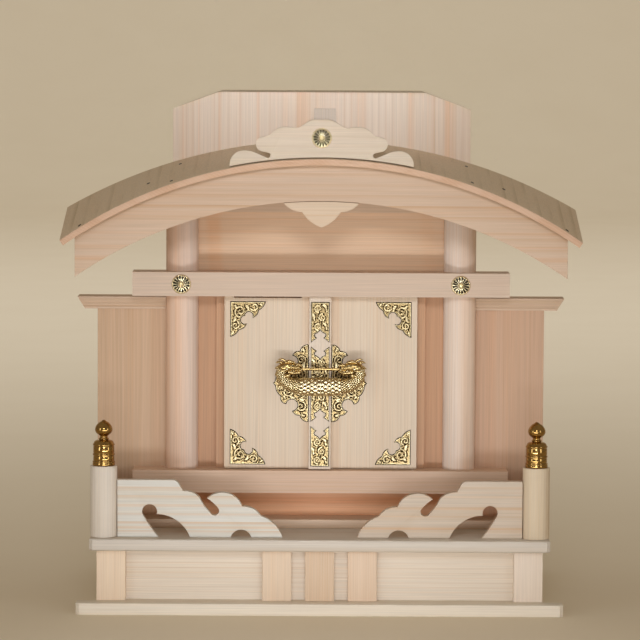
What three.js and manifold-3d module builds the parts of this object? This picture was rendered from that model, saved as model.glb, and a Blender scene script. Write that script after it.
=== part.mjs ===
// Household altar cabinet of pale cypress with brass fittings. Millimetres, +Z up, front towards -Y,
// origin in the middle of the base board's underside.
import * as THREE from "three";
import { mergeVertices } from "three/addons/utils/BufferGeometryUtils.js";
import Module from "manifold-3d";

const wasm = await Module();
wasm.setup();

// Driving dimensions
const depth = 320;
const front = -depth / 2;
const gap = 0.3;
const arcTolerance = 0.12;

const base = { halfWidth: 244.4, lipBack: front + 20, height: 12, chamfer: 3.5 };
const plinth = { halfWidth: 224.6, front: front + 20, back: front + 312, height: 51 };
const stile = { width: 29.2, depth: 8, cornerDepth: 24, centres: [-209.9, -43.05, 0, 43.05, 209.9] };
const deck = { halfWidth: 231.7, front: front + 13, back: front + 316, height: 12, chamfer: 3.5 };
const plinthTop = base.height + plinth.height;
const deckTop = plinthTop + deck.height;

const wallFront = front + 135;
const wallThickness = 10;
const box = { halfWidth: 152.9, back: front + 312, floorTop: deckTop + 59, floorThickness: 12 };
const tower = { top: 521, shoulder: 503.9, flatHalf: 106.4, capDrop: 1.5, capThickness: 2.4 };
const friezeTop = 430;

const groundSill = { halfWidth: 230.3, front: front + 97, height: 9 };
const sill = { halfWidth: 192.6, front: front + 101, bottom: 111, top: 134 };
const beam = { halfWidth: 192.9, front: front + 101, bottom: 313.2, top: 337.8 };
const column = { x: 142.8, y: front + 128.5, radius: 16.6, top: 434.5 };
const topRail = { front: front + 125, bottom: 398, top: 424 };

const screen = { outer: 230.3, top: 297.5 };
const coping = { bottomOuter: 243.3, topOuter: 250.4, height: 13, foot: 2, flare: 10 };

const post = { x: 218, y: front + 34.5, radius: 13.6, top: 147 };
const rail = { front: front + 29.5, thickness: 10, top: 133 };

const leaf = { half: 99.1, front: front + 116, thickness: 9, bottom: 134.7, top: 312.6, middleGap: 0.3 };
const pivot = { x: 94.85, y: leaf.front + leaf.thickness / 2, radius: 3, length: 5, clearance: 0.4 };
const doorway = { half: 80, bottom: 140, top: 306, lipHalf: 88, lipFront: leaf.front + leaf.thickness + 0.6 };
const jamb = { half: 107.5, front: pivot.y + 6.9 };
const strip = { low: -11.9, high: 10.8, thickness: 8 };
const plate = { thickness: 1, edgeInset: 6.1, endInset: 5.6 };

const roof = { halfWidth: 261.5, front: front + 20, thickness: 6.3, frontCrown: 457, frontEnd: 374.7,
  backCrown: 471.8, backEnd: 401.7, steps: 40 };
const barge = { front: front + 30, thickness: 10, halfLength: 247, bottomCrown: 414.6, radius: 434.8 };
const crest = { front: front + 22, thickness: 9, bossHeight: 478, braceDepth: 11, braceTop: 507 };
const boss = { radius: 10, rise: 3.2, petals: 16 };
const lock = { centreX: 0, centreZ: 220.9, back: leaf.front - strip.thickness - plate.thickness - gap };

// Finishes, one for each colour of wood or metal
const finish = (color, roughness, metalness = 0) =>
  new THREE.MeshStandardMaterial({ color, roughness, metalness });
const paleWood = finish(0xdcc7aa, 0.55);
const rosyWood = finish(0xd5b294, 0.55);
const amberWood = finish(0xcba27b, 0.6);
const brass = finish(0xcfae5e, 0.3, 1);

const cabinet = new THREE.Group();

function add(name, geometry, material, place = [0, 0, 0]) {
  const mesh = new THREE.Mesh(geometry, material);
  mesh.name = name;
  mesh.position.set(...place);
  cabinet.add(mesh);
}

// Booleans between closed geometries
function solidOf(geometry) {
  const bare = geometry.index ? geometry.toNonIndexed() : geometry.clone();
  bare.deleteAttribute("normal");
  bare.deleteAttribute("uv");
  const merged = mergeVertices(bare, 1e-4);
  const vertProperties = new Float32Array(merged.attributes.position.array);
  const triVerts = new Uint32Array(merged.index.array);
  return new wasm.Manifold(new wasm.Mesh({ numProp: 3, vertProperties, triVerts }));
}

function geometryOf(solid) {
  const mesh = solid.getMesh();
  const geometry = new THREE.BufferGeometry();
  geometry.setAttribute("position", new THREE.BufferAttribute(new Float32Array(mesh.vertProperties), 3));
  geometry.setIndex(new THREE.BufferAttribute(new Uint32Array(mesh.triVerts), 1));
  return geometry;
}

const cut = (body, ...tools) =>
  geometryOf(tools.reduce((left, tool) => left.subtract(solidOf(tool)), solidOf(body)));
const join = (...bodies) => geometryOf(bodies.map(solidOf).reduce((left, right) => left.add(right)));

// Plain shapes, given by the places of their faces
function boxBetween([x0, x1], [y0, y1], [z0, z1]) {
  const geometry = new THREE.BoxGeometry(x1 - x0, y1 - y0, z1 - z0);
  return geometry.translate((x0 + x1) / 2, (y0 + y1) / 2, (z0 + z1) / 2);
}

function upright(radius, z0, z1, x, y, sides = 24) {
  const geometry = new THREE.CylinderGeometry(radius, radius, z1 - z0, sides);
  return geometry.rotateX(Math.PI / 2).translate(x, y, (z0 + z1) / 2);
}

// An outline is a list of corners [across, up, bulge]. The edge that leaves a corner is straight where
// the bulge is missing, and otherwise an arc that rises by bulge times half its chord. On an outline
// that runs anticlockwise a positive bulge is a lobe and a negative one a bite.
function outline(corners) {
  const points = [];
  corners.forEach(([x0, y0, bulge = 0], i) => {
    const [x1, y1] = corners[(i + 1) % corners.length];
    points.push(new THREE.Vector2(x0, y0));
    if (bulge === 0) return;
    const half = Math.hypot(x1 - x0, y1 - y0) / 2;
    const radius = (half * (1 + bulge * bulge)) / (2 * Math.abs(bulge));
    const toCentre = (1 - bulge * bulge) / (4 * bulge);
    const cx = (x0 + x1) / 2 - (y1 - y0) * toCentre;
    const cy = (y0 + y1) / 2 + (x1 - x0) * toCentre;
    const sweep = 4 * Math.atan(bulge);
    const stepAngle = 2 * Math.acos(1 - Math.min(arcTolerance / radius, 0.5));
    const steps = Math.max(2, Math.ceil(Math.abs(sweep) / stepAngle));
    const start = Math.atan2(y0 - cy, x0 - cx);
    for (let k = 1; k < steps; k += 1) {
      const angle = start + (sweep * k) / steps;
      points.push(new THREE.Vector2(cx + radius * Math.cos(angle), cy + radius * Math.sin(angle)));
    }
  });
  return points;
}

// The other half of a run of corners that is alike on both sides of x = 0, walked back to its start
function mirrored(run) {
  const back = run.map(([x, y]) => [-x, y]).reverse();
  const bulges = run.map(([, , bulge = 0]) => bulge).reverse();
  return back.map(([x, y], i) => [x, y, i < back.length - 1 ? bulges[i + 1] : 0]);
}

const mirrorPoints = (points) => points.map((p) => new THREE.Vector2(-p.x, p.y)).reverse();

// A board seen from the front: the outline is in x and z, and the board runs back from y
function frontBoard(points, y, thickness) {
  const geometry = new THREE.ExtrudeGeometry(new THREE.Shape(points), {
    depth: thickness, bevelEnabled: false, curveSegments: 1 });
  return geometry.rotateX(Math.PI / 2).translate(0, y + thickness, 0);
}

// A board seen from the side: the outline is in y and z, and the board runs from x0 to x1
function sideBoard(points, x0, x1) {
  const geometry = new THREE.ExtrudeGeometry(new THREE.Shape(points), {
    depth: x1 - x0, bevelEnabled: false, curveSegments: 1 });
  return geometry.rotateX(Math.PI / 2).rotateZ(Math.PI / 2).translate(x0, 0, 0);
}

// A board seen from above, with its four upright corners cut off
function chamferedBoard(halfWidth, y0, y1, chamfer, z0, z1) {
  const points = outline([
    [-halfWidth + chamfer, y0], [halfWidth - chamfer, y0], [halfWidth, y0 + chamfer],
    [halfWidth, y1 - chamfer], [halfWidth - chamfer, y1], [-halfWidth + chamfer, y1],
    [-halfWidth, y1 - chamfer], [-halfWidth, y0 + chamfer]]);
  const geometry = new THREE.ExtrudeGeometry(new THREE.Shape(points), { depth: z1 - z0, bevelEnabled: false });
  return geometry.translate(0, 0, z0);
}

// A skin over rings that have the same number of points, closed by a flat cap at each end
function loft(rings) {
  const count = rings[0].length;
  const positions = rings.flat().flatMap((p) => [p.x, p.y, p.z]);
  const index = [];
  for (let r = 0; r + 1 < rings.length; r += 1) {
    for (let k = 0; k < count; k += 1) {
      const a = r * count + k;
      const b = r * count + ((k + 1) % count);
      index.push(a, b, b + count, a, b + count, a + count);
    }
  }
  const last = (rings.length - 1) * count;
  for (let k = 1; k + 1 < count; k += 1) {
    index.push(0, k + 1, k, last, last + k, last + k + 1);
  }
  const geometry = new THREE.BufferGeometry();
  geometry.setAttribute("position", new THREE.BufferAttribute(new Float32Array(positions), 3));
  geometry.setIndex(index);
  return geometry;
}

// The base board is as wide as the plinth, with a wider lip along the front
function baseGeometry() {
  const { halfWidth, lipBack, height, chamfer } = base;
  const points = outline([
    [-halfWidth + chamfer, front], [halfWidth - chamfer, front], [halfWidth, front + chamfer],
    [halfWidth, lipBack], [plinth.halfWidth, lipBack], [plinth.halfWidth, front + depth],
    [-plinth.halfWidth, front + depth], [-plinth.halfWidth, lipBack], [-halfWidth, lipBack],
    [-halfWidth, front + chamfer]]);
  return new THREE.ExtrudeGeometry(new THREE.Shape(points), { depth: height, bevelEnabled: false });
}

// Base, plinth and deck
function addPlinth() {
  const low = base.height;
  const panelFront = plinth.front + stile.depth;
  const panelInner = stile.centres[4] - stile.width / 2;
  add("base_board", baseGeometry(), paleWood);
  stile.centres.forEach((centre, i) => {
    const corner = i === 0 || i === stile.centres.length - 1;
    const back = plinth.front + (corner ? stile.cornerDepth : stile.depth);
    const sides = [centre - stile.width / 2, centre + stile.width / 2];
    add(`plinth_stile_${i + 1}`, boxBetween(sides, [plinth.front, back], [low, plinthTop]), paleWood);
  });
  add("plinth_front_panel", boxBetween([-panelInner, panelInner],
    [panelFront, panelFront + stile.depth], [low, plinthTop]), paleWood);
  const sideOuter = plinth.halfWidth - stile.depth;
  for (const [name, side] of [["left", -1], ["right", 1]]) {
    const across = [side * sideOuter, side * (sideOuter - stile.depth)].sort((a, b) => a - b);
    const along = [plinth.front + stile.cornerDepth, plinth.back - stile.depth];
    add(`plinth_side_panel_${name}`, boxBetween(across, along, [low, plinthTop]), paleWood);
  }
  add("plinth_back_panel", boxBetween([-sideOuter, sideOuter],
    [plinth.back - stile.depth, plinth.back], [low, plinthTop]), paleWood);
  add("deck_board", chamferedBoard(deck.halfWidth, deck.front, deck.back, deck.chamfer,
    plinthTop, deckTop), paleWood);
}

// The cloud-cut railing board on the left: lobes that climb from the middle towards the post, a hooked
// slot behind the third lobe, and two openings along the deck
function cloudRailOutline() {
  const nose = -37.6;
  const end = -post.x + post.radius + gap;
  return outline([
    [end, deckTop], [-162.8, deckTop, -0.05], [-178.6, 97.8, -1.45], [-164.4, 98.2, -0.315],
    [-130.8, deckTop], [-89.7, deckTop, -0.77], [-69, deckTop], [nose, deckTop, 0.25],
    [-59.1, 96.6, 0.26], [-78.3, 106.6, 0.53], [-113.6, 114.5, -0.1], [-102, 104, -1],
    [-110.7, 100.1, -0.1], [-121.3, 115.5, 0.2], [-138.2, 122.1], [-141.4, 127.4, 0.3],
    [-148, rail.top], [end, rail.top]]);
}

// Posts, finials and railings on the deck
function addRailings() {
  const cloud = cloudRailOutline();
  const run = post.y + post.radius + gap;
  const sideOutline = outline([
    [run, deckTop], [groundSill.front - gap, deckTop],
    [groundSill.front - gap, deckTop + groundSill.height + gap],
    [wallFront, deckTop + groundSill.height + gap], [wallFront, rail.top], [run, rail.top]]);
  for (const [name, side] of [["left", -1], ["right", 1]]) {
    add(`post_${name}`, upright(post.radius, deckTop, post.top, 0, 0, 28), paleWood, [side * post.x, post.y, 0]);
    add(`finial_${name}`, finialGeometry(), brass, [side * post.x, post.y, post.top]);
    add(`cloud_rail_${name}`, frontBoard(side < 0 ? cloud : mirrorPoints(cloud), rail.front, rail.thickness),
      paleWood);
    const centre = side * post.x;
    add(`side_rail_${name}`, sideBoard(sideOutline, centre - rail.thickness / 2, centre + rail.thickness / 2),
      paleWood);
  }
}

// The onion-shaped cap of a post: rings round a drum, a narrow neck and a pointed bulb
function finialGeometry() {
  const drum = [[0, 0], [11.4, 0], [11.4, 4.4], [10.7, 5.2], [10.7, 9.6], [11.1, 10.4], [11.1, 12.6],
    [10.7, 13.4], [10.7, 19.6], [10.9, 20.4], [10.9, 22.2], [9.6, 24.6], [6.2, 26.4], [4.05, 28.4]];
  const bulbBase = 29.6;
  const bulbHeight = 16.7;
  const bulbRadius = 9.35;
  const bulb = Array.from({ length: 9 }, (_, i) => {
    const rise = i / 9;
    const swell = Math.sin(Math.PI * Math.pow(rise, 0.82)) ** 0.62;
    return [Math.max(4.05 * (1 - rise), bulbRadius * swell * (1 - 0.12 * rise)), bulbBase + bulbHeight * rise];
  });
  const profile = [...drum, ...bulb, [0, bulbBase + bulbHeight]];
  const points = profile.map(([r, z]) => new THREE.Vector2(r, z));
  return new THREE.LatheGeometry(points, 20).rotateX(Math.PI / 2);
}

// Sills, beam and the two round columns with flat backs
function columnGeometry(extra, z0, z1) {
  const body = upright(column.radius + extra, z0, z1, 0, column.y, 32);
  const behind = boxBetween([-40, 40], [wallFront, wallFront + 40], [z0 - 1, z1 + 1]);
  return extra > 0 ? body : cut(body, behind);
}

function pivotHole(side, z0, z1) {
  return upright(pivot.radius + pivot.clearance, z0, z1, side * pivot.x, pivot.y, 16);
}

function addFrame() {
  const depthBack = pivot.length + pivot.clearance;
  const sillHoles = [-1, 1].map((side) => pivotHole(side, sill.top - depthBack, sill.top + 1));
  const beamHoles = [-1, 1].map((side) => pivotHole(side, beam.bottom - 1, beam.bottom + depthBack));
  const notch = columnGeometry(gap, beam.bottom - 1, beam.top + 1);
  const notches = [-1, 1].map((side) => notch.clone().translate(side * column.x, 0, 0));
  add("ground_sill", boxBetween([-groundSill.halfWidth, groundSill.halfWidth],
    [groundSill.front, wallFront], [deckTop, deckTop + groundSill.height]), rosyWood);
  add("sill_plank", cut(boxBetween([-sill.halfWidth, sill.halfWidth],
    [sill.front, wallFront], [sill.bottom, sill.top]), ...sillHoles), rosyWood);
  add("beam", cut(boxBetween([-beam.halfWidth, beam.halfWidth],
    [beam.front, wallFront], [beam.bottom, beam.top]), ...beamHoles, ...notches), rosyWood);
  for (const [name, side] of [["left", -1], ["right", 1]]) {
    add(`column_${name}`, columnGeometry(0, sill.top, column.top), rosyWood, [side * column.x, 0, 0]);
  }
  const railEnd = column.x - column.radius - gap;
  add("top_rail", boxBetween([-railEnd, railEnd], [topRail.front, wallFront],
    [topRail.bottom, topRail.top]), amberWood);
}

// The tall box behind: front wall in four boards, sides, back, floor, and a bent cap that lies a little
// lower than the front board's top edge
function shoulderedOutline(bottom, drop) {
  return outline([[-box.halfWidth, bottom], [box.halfWidth, bottom], [box.halfWidth, tower.shoulder - drop],
    [tower.flatHalf, tower.top - drop], [-tower.flatHalf, tower.top - drop],
    [-box.halfWidth, tower.shoulder - drop]]);
}

function capOutline() {
  const top = [[box.halfWidth, tower.shoulder], [tower.flatHalf, tower.top],
    [-tower.flatHalf, tower.top], [-box.halfWidth, tower.shoulder]];
  const under = top.map(([x, z]) => [x, z - tower.capThickness]).reverse();
  return outline([...under, ...top].map(([x, z]) => [x, z - tower.capDrop]));
}

function addBox() {
  const wallBack = wallFront + wallThickness;
  const wide = [-box.halfWidth, box.halfWidth];
  const walls = [wallFront, wallBack];
  add("kick_panel", boxBetween(wide, walls, [deckTop, sill.top]), amberWood);
  const lip = boxBetween([-doorway.lipHalf, doorway.lipHalf], [doorway.lipFront, wallBack],
    [sill.top + gap, beam.bottom - gap]);
  const jambs = boxBetween([-jamb.half, jamb.half], [jamb.front, wallBack],
    [sill.top + gap, beam.bottom - gap]);
  const surround = join(boxBetween(wide, walls, [sill.top, beam.top]), jambs, lip);
  const opening = boxBetween([-doorway.half, doorway.half], [doorway.lipFront - 1, wallBack + 1],
    [doorway.bottom, doorway.top]);
  add("door_surround", cut(surround, opening), rosyWood);
  add("frieze_panel", boxBetween(wide, walls, [beam.top, friezeTop]), amberWood);
  add("tower_front", frontBoard(shoulderedOutline(friezeTop, 0), wallFront, wallThickness), paleWood);
  const underCap = tower.capDrop + tower.capThickness + gap;
  add("box_back", frontBoard(shoulderedOutline(deckTop, underCap), box.back - wallThickness, wallThickness),
    paleWood);
  const sideTop = tower.shoulder - underCap;
  const sideRun = [wallBack, box.back - wallThickness];
  const inner = box.halfWidth - wallThickness;
  add("box_side_left", boxBetween([-box.halfWidth, -inner], sideRun, [deckTop, sideTop]), paleWood);
  add("box_side_right", boxBetween([inner, box.halfWidth], sideRun, [deckTop, sideTop]), paleWood);
  add("box_floor", boxBetween([-inner, inner], sideRun,
    [box.floorTop - box.floorThickness, box.floorTop]), paleWood);
  add("tower_cap", frontBoard(capOutline(), wallBack + gap, box.back - wallBack - gap), paleWood);
}

// Side screens with flared, grooved copings
function copingGeometry() {
  const low = screen.top;
  const high = low + coping.height;
  const faceOut = [[0, 0], [0.12, 0], [0.3, 0.34], [0.34, 0.34], [0.55, 0.62], [0.59, 0.62],
    [0.78, 0.86], [0.82, 0.86], [0.9, 1], [1, 1]];
  const middle = wallFront + wallThickness / 2;
  const halfAt = (out) => wallThickness / 2 + coping.foot + (coping.flare - coping.foot) * out;
  const frontFace = faceOut.map(([up, out]) => [middle - halfAt(out), low + coping.height * up]);
  const backFace = faceOut.map(([up, out]) => [middle + halfAt(out), low + coping.height * up]).reverse();
  const section = outline([...frontFace, ...backFace].reverse());
  const body = sideBoard(section, box.halfWidth, coping.topOuter);
  const slant = coping.topOuter - coping.bottomOuter;
  const wedge = frontBoard(outline([[coping.bottomOuter, low], [coping.bottomOuter + slant + 1, low - 0.01],
    [coping.topOuter + 1, high + 0.01], [coping.topOuter, high]]), middle - 40, 80);
  const behindColumn = columnGeometry(gap, low - 1, high + 1).translate(column.x, 0, 0);
  return cut(body, wedge, behindColumn);
}

function addScreens() {
  const copingRight = copingGeometry();
  const mirror = new THREE.Matrix4().makeScale(-1, 1, 1);
  const copingLeft = flipped(copingRight.clone().applyMatrix4(mirror));
  for (const [name, side] of [["left", -1], ["right", 1]]) {
    const across = [side * box.halfWidth, side * screen.outer].sort((a, b) => a - b);
    const board = boxBetween(across, [wallFront, wallFront + wallThickness], [deckTop, screen.top]);
    add(`side_screen_${name}`, board, amberWood);
    add(`coping_${name}`, side < 0 ? copingLeft : copingRight, rosyWood);
  }
}

// A mirrored mesh has its triangles turned over again, so that they face out
function flipped(geometry) {
  const index = geometry.index.array;
  for (let i = 0; i < index.length; i += 3) {
    [index[i + 1], index[i + 2]] = [index[i + 2], index[i + 1]];
  }
  return geometry;
}

// The arched porch roof: an arc at the front edge and a flatter, higher arc at the wall, with straight
// lines between them, and ends cut square to the arch
const arcOf = (crown, end) => {
  const drop = crown - end;
  const radius = (roof.halfWidth ** 2 + drop ** 2) / (2 * drop);
  return { crown, radius, reach: Math.asin(roof.halfWidth / radius) };
};
const frontArc = arcOf(roof.frontCrown, roof.frontEnd);
const backArc = arcOf(roof.backCrown, roof.backEnd);

function archRing(arc, y) {
  const at = (u, inset) => new THREE.Vector3(
    (arc.radius - inset) * Math.sin(arc.reach * u), y,
    arc.crown - arc.radius + (arc.radius - inset) * Math.cos(arc.reach * u));
  const across = Array.from({ length: roof.steps + 1 }, (_, i) => -1 + (2 * i) / roof.steps);
  return [...across.map((u) => at(u, roof.thickness)), ...across.reverse().map((u) => at(u, 0))];
}

// The loft's caps fan from one corner, so the arch is built as a strip of wedges, each one convex
function roofGeometry() {
  const rings = [archRing(frontArc, roof.front), archRing(backArc, wallFront - gap)];
  const count = rings[0].length;
  const positions = rings.flat().flatMap((p) => [p.x, p.y, p.z]);
  const index = [];
  for (let k = 0; k < count; k += 1) {
    const next = (k + 1) % count;
    index.push(k, next + count, next, k, k + count, next + count);
  }
  for (let k = 0; k < roof.steps; k += 1) {
    const far = count - 1 - k;
    index.push(k, k + 1, far, k + 1, far - 1, far);
    index.push(count + k, count + far, count + k + 1, count + k + 1, count + far, count + far - 1);
  }
  const geometry = new THREE.BufferGeometry();
  geometry.setAttribute("position", new THREE.BufferAttribute(new Float32Array(positions), 3));
  geometry.setIndex(index);
  return geometry;
}

// Height of the roof's top or underside above a place on its plan
function roofHeight(x, y, under = 0) {
  const along = (y - roof.front) / (wallFront - roof.front);
  const heightOn = (arc) => {
    const radius = arc.radius - under;
    return arc.crown - arc.radius + Math.sqrt(radius ** 2 - x ** 2);
  };
  return (1 - along) * heightOn(frontArc) + along * heightOn(backArc);
}

function addRoof() {
  add("porch_roof", roofGeometry(), rosyWood);
  const steps = 36;
  const across = Array.from({ length: steps + 1 }, (_, i) => barge.halfLength * (-1 + (2 * i) / steps));
  const lower = (x) => barge.bottomCrown - barge.radius + Math.sqrt(barge.radius ** 2 - x ** 2);
  const upper = (x) => roofHeight(x, barge.front, roof.thickness) - gap;
  const bargePoints = [...across.map((x) => new THREE.Vector2(x, lower(x))),
    ...across.slice().reverse().map((x) => new THREE.Vector2(x, upper(x)))];
  add("barge_board", frontBoard(bargePoints, barge.front, barge.thickness), paleWood);

  const pendantHalf = 37.8;
  const shoulder = lower(pendantHalf) - gap;
  const pendantRun = [[0, 388.4, 0.18], [19.4, 403.9, 0.23], [pendantHalf, shoulder]];
  const pendantArch = (lower(0) - lower(pendantHalf)) / pendantHalf;
  const pendant = [...pendantRun.slice(0, 2), [pendantHalf, shoulder, pendantArch],
    ...mirrored(pendantRun).slice(0, 2)];
  add("pendant", frontBoard(outline(pendant), barge.front - 1, barge.thickness), paleWood);
}

// The cloud-shaped crest board that stands on the roof's front edge, and the brace behind it
function addCrest() {
  const foot = (x) => roofHeight(x, crest.front + crest.thickness) + gap;
  const half = 91.9;
  const rise = (foot(0) - foot(half)) / half;
  const run = [[half, foot(half), 0.5], [75.5, 465.2, 0.12], [66, 463], [55.4, 458.7, -1.05],
    [52.4, 462.9], [60.1, 464.7, 0.73], [61.4, 478.3], [54.5, 479.8, -0.2], [50.5, 482.1],
    [48.4, 484.7, 0.2], [36.5, 489, 0.05], [28, 488.1, -0.17], [20.9, 489.3], [15.5, 493, 0.2],
    [0, 496.2]];
  const corners = [...run.slice(0, -1), ...mirrored(run)];
  corners[corners.length - 1][2] = -rise;
  add("crest_board", frontBoard(outline(corners), crest.front, crest.thickness), paleWood);

  const back = crest.front + crest.thickness + gap;
  const seat = roofHeight(0, back + crest.braceDepth) + gap;
  add("crest_brace", frontBoard(outline([[-9.6, seat], [16.4, seat], [13.7, crest.braceTop],
    [-7.6, crest.braceTop]]), back, crest.braceDepth), paleWood);
}

// A sixteen-petalled chrysanthemum boss: a dome whose rim and ribs follow the petals, round a button
function bossGeometry() {
  const around = boss.petals * 2;
  const rings = [[0.24, 1, 0], [0.3, 0.72, 0], [0.62, 0.86, 0.3], [0.9, 0.45, 0.28], [1, 0.1, 0]];
  const ring = ([out, rise, rib]) => Array.from({ length: around }, (_, i) => {
    const angle = (2 * Math.PI * i) / around;
    const onPetal = Math.abs(Math.cos((boss.petals / 2) * angle));
    const reach = boss.radius * (out > 0.8 ? out - 0.07 * (1 - onPetal) : out);
    const lift = boss.rise * (rise + rib * (onPetal - 0.6));
    return new THREE.Vector3(reach * Math.cos(angle), -lift, reach * Math.sin(angle));
  });
  const edge = ring(rings[rings.length - 1]).map((p) => new THREE.Vector3(p.x, 0, p.z));
  return loft([edge, ...rings.map(ring).reverse()]);
}

function addBosses() {
  add("crest_boss", bossGeometry(), brass, [0, crest.front - 0.1, crest.bossHeight]);
  for (const [name, side] of [["left", -1], ["right", 1]]) {
    add(`beam_boss_${name}`, bossGeometry(), brass,
      [side * column.x, beam.front - 0.1, (beam.bottom + beam.top) / 2]);
  }
}

// Door leaves, each hung on a pin at its outer top and bottom corners
function leafGeometry(side) {
  const across = [side * leaf.middleGap, side * leaf.half].sort((a, b) => a - b);
  const panel = boxBetween(across, [leaf.front, leaf.front + leaf.thickness], [leaf.bottom, leaf.top]);
  const reachDown = sill.top - pivot.length;
  const reachUp = beam.bottom + pivot.length;
  const pins = [[reachDown, leaf.bottom + 1], [leaf.top - 1, reachUp]].map(([z0, z1]) =>
    upright(pivot.radius, z0, z1, side * pivot.x, pivot.y, 16));
  return join(panel, ...pins);
}

// Plate outlines: lobes between cusps, with round bites
function cornerPlateOutline() {
  const reach = 36.6;
  return outline([[0, 0], [reach, 0, 0.22], [29.2, 9.2, 0.33], [22.8, 16.9, -1.3], [15, 15, -1.3],
    [16.9, 22.8, 0.33], [9.2, 29.2, 0.22], [0, reach]]);
}

function sidePlateOutline() {
  const tip = 36.6;
  const lower = [[0, -39.8, 0.42], [8.9, -33.4, 0.36], [16.9, -28.5, -2.1], [23, -21.6, 0.48],
    [28.9, -13.4, 0.22], [34.3, -3.4, -0.15]];
  const upper = [[34.3, 3.4, 0.22], [28.9, 13.4, 0.48], [23, 21.6, -2.1], [16.9, 28.5, 0.36],
    [8.9, 33.4, 0.42], [0, 39.8]];
  return outline([...lower, [tip, 0, -0.15], ...upper]);
}

// A strip plate runs from one end to the other, and an end that isn't square has a pointed notch
function stripPlateOutline(low, high, notchLow, notchHigh) {
  const half = 9.5;
  const notch = [[half, 0], [3.3, 4.9, -0.5], [5.3, 8.8, 0.2], [0, 12.9, 0.2], [-5.3, 8.8, -0.5],
    [-3.3, 4.9], [-half, 0]];
  const top = notchHigh ? notch.map(([x, down, bulge]) => [x, high - down, bulge]) : [[half, high], [-half, high]];
  const bottom = notchLow
    ? notch.map(([x, up, bulge]) => [-x, low + up, bulge]) : [[-half, low], [half, low]];
  return outline([...top, ...bottom]);
}

function addCornerPlates() {
  const points = cornerPlateOutline();
  const at = leaf.half - plate.edgeInset;
  const low = leaf.bottom + plate.endInset - 1.6;
  const high = leaf.top - plate.endInset;
  for (const [name, side] of [["left", -1], ["right", 1]]) {
    for (const [level, z, up] of [["lower", low, 1], ["upper", high, -1]]) {
      const placed = points.map((p) => new THREE.Vector2(side * (at - p.x), z + up * p.y));
      const turned = side * up > 0 ? placed.reverse() : placed;
      add(`corner_plate_${name}_${level}`, frontBoard(turned, leaf.front - plate.thickness, plate.thickness),
        brass);
    }
  }
}

function addStripAndPlates() {
  const stripFront = leaf.front - strip.thickness;
  const middle = (strip.low + strip.high) / 2;
  add("door_strip", boxBetween([strip.low, strip.high], [stripFront, leaf.front],
    [leaf.bottom, leaf.top]), paleWood);
  const pieces = [["upper", 265.7, 307.3, true, false], ["middle", 184, 261.5, true, true],
    ["lower", 137.7, 179.3, false, true]];
  for (const [name, low, high, notchLow, notchHigh] of pieces) {
    const points = stripPlateOutline(low, high, notchLow, notchHigh);
    add(`strip_plate_${name}`, frontBoard(points, stripFront - plate.thickness, plate.thickness), brass,
      [middle, 0, 0]);
  }
  const half = sidePlateOutline();
  const plateHeight = 222.8;
  add("side_plate_right", frontBoard(half, leaf.front - plate.thickness, plate.thickness), brass,
    [strip.high + gap, 0, plateHeight]);
  add("side_plate_left", frontBoard(mirrorPoints(half), leaf.front - plate.thickness, plate.thickness), brass,
    [strip.low - gap, 0, plateHeight]);
}

// The padlock: a crescent body that thickens in the middle and ends in two beast heads, which face
// each other across a thin rod
function tubeAlong(stations, sides) {
  const rings = stations.map(([x, z, radius, thick], i) => {
    const [x0, z0] = stations[Math.max(0, i - 1)];
    const [x1, z1] = stations[Math.min(stations.length - 1, i + 1)];
    const tangent = new THREE.Vector2(x1 - x0, z1 - z0).normalize();
    return Array.from({ length: sides }, (_, k) => {
      const angle = (2 * Math.PI * k) / sides;
      const out = radius * Math.cos(angle);
      return new THREE.Vector3(x - tangent.y * out, -thick * Math.sin(angle), z + tangent.x * out);
    });
  });
  return loft(rings);
}

function lockHead() {
  const skull = tubeAlong([[-18.6, 18.2, 2.2, 2.2], [-20.5, 18.4, 3.6, 3.4], [-24.5, 18.9, 4.8, 4.6],
    [-29.5, 20, 5.6, 5.6], [-34.5, 20.6, 6, 6.4], [-39, 19.6, 5.4, 6], [-42.5, 17.4, 3.4, 4]], 12);
  const brow = tubeAlong([[-27, 24, 0.6, 1.4], [-31, 26.4, 1.6, 2.6], [-36, 26.6, 1.8, 2.8], [-40, 24, 0.8, 1.6]], 8);
  const spikes = [[-37, 24, -41.5, 29.6], [-40.5, 20, -46.2, 23.4], [-41, 15, -46.8, 16.2]].map(
    ([x0, z0, x1, z1]) => tubeAlong([[x0, z0, 3, 2.6], [x1, z1, 0.5, 0.5]], 6));
  return [skull, brow, ...spikes];
}

function lockGeometry() {
  const half = [[-39.6, 18.6, 5, 5], [-40.2, 13.4, 5.8, 5.6], [-37.6, 7.8, 6.2, 6], [-33, 3.8, 6.8, 6.6],
    [-26.5, 1.4, 7.8, 7.2], [-18, 0.4, 8.8, 7.8], [-9, 0, 9.4, 8.2]];
  const stations = [...half, [0, 0, 9.6, 8.4], ...half.map(([x, z, r, t]) => [-x, z, r, t]).reverse()];
  const left = lockHead();
  const mirror = new THREE.Matrix4().makeScale(-1, 1, 1);
  const right = left.map((piece) => flipped(piece.clone().applyMatrix4(mirror)));
  const rod = tubeAlong([[-20, 18.3, 1.6, 1.6], [20, 18.3, 1.6, 1.6]], 10);
  return join(tubeAlong(stations, 14), ...left, ...right, rod);
}

// The doors with what is fixed to them, and the padlock that hangs on the left one
function addDoors() {
  add("door_left", leafGeometry(-1), paleWood);
  add("door_right", leafGeometry(1), paleWood);
  addStripAndPlates();
  addCornerPlates();
  const lockHalfDepth = 8.4;
  add("padlock", lockGeometry(), brass, [lock.centreX, lock.back - lockHalfDepth, lock.centreZ]);
}

addPlinth();
addRailings();
addFrame();
addBox();
addScreens();
addRoof();
addCrest();
addBosses();
addDoors();

export default cabinet;
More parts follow.
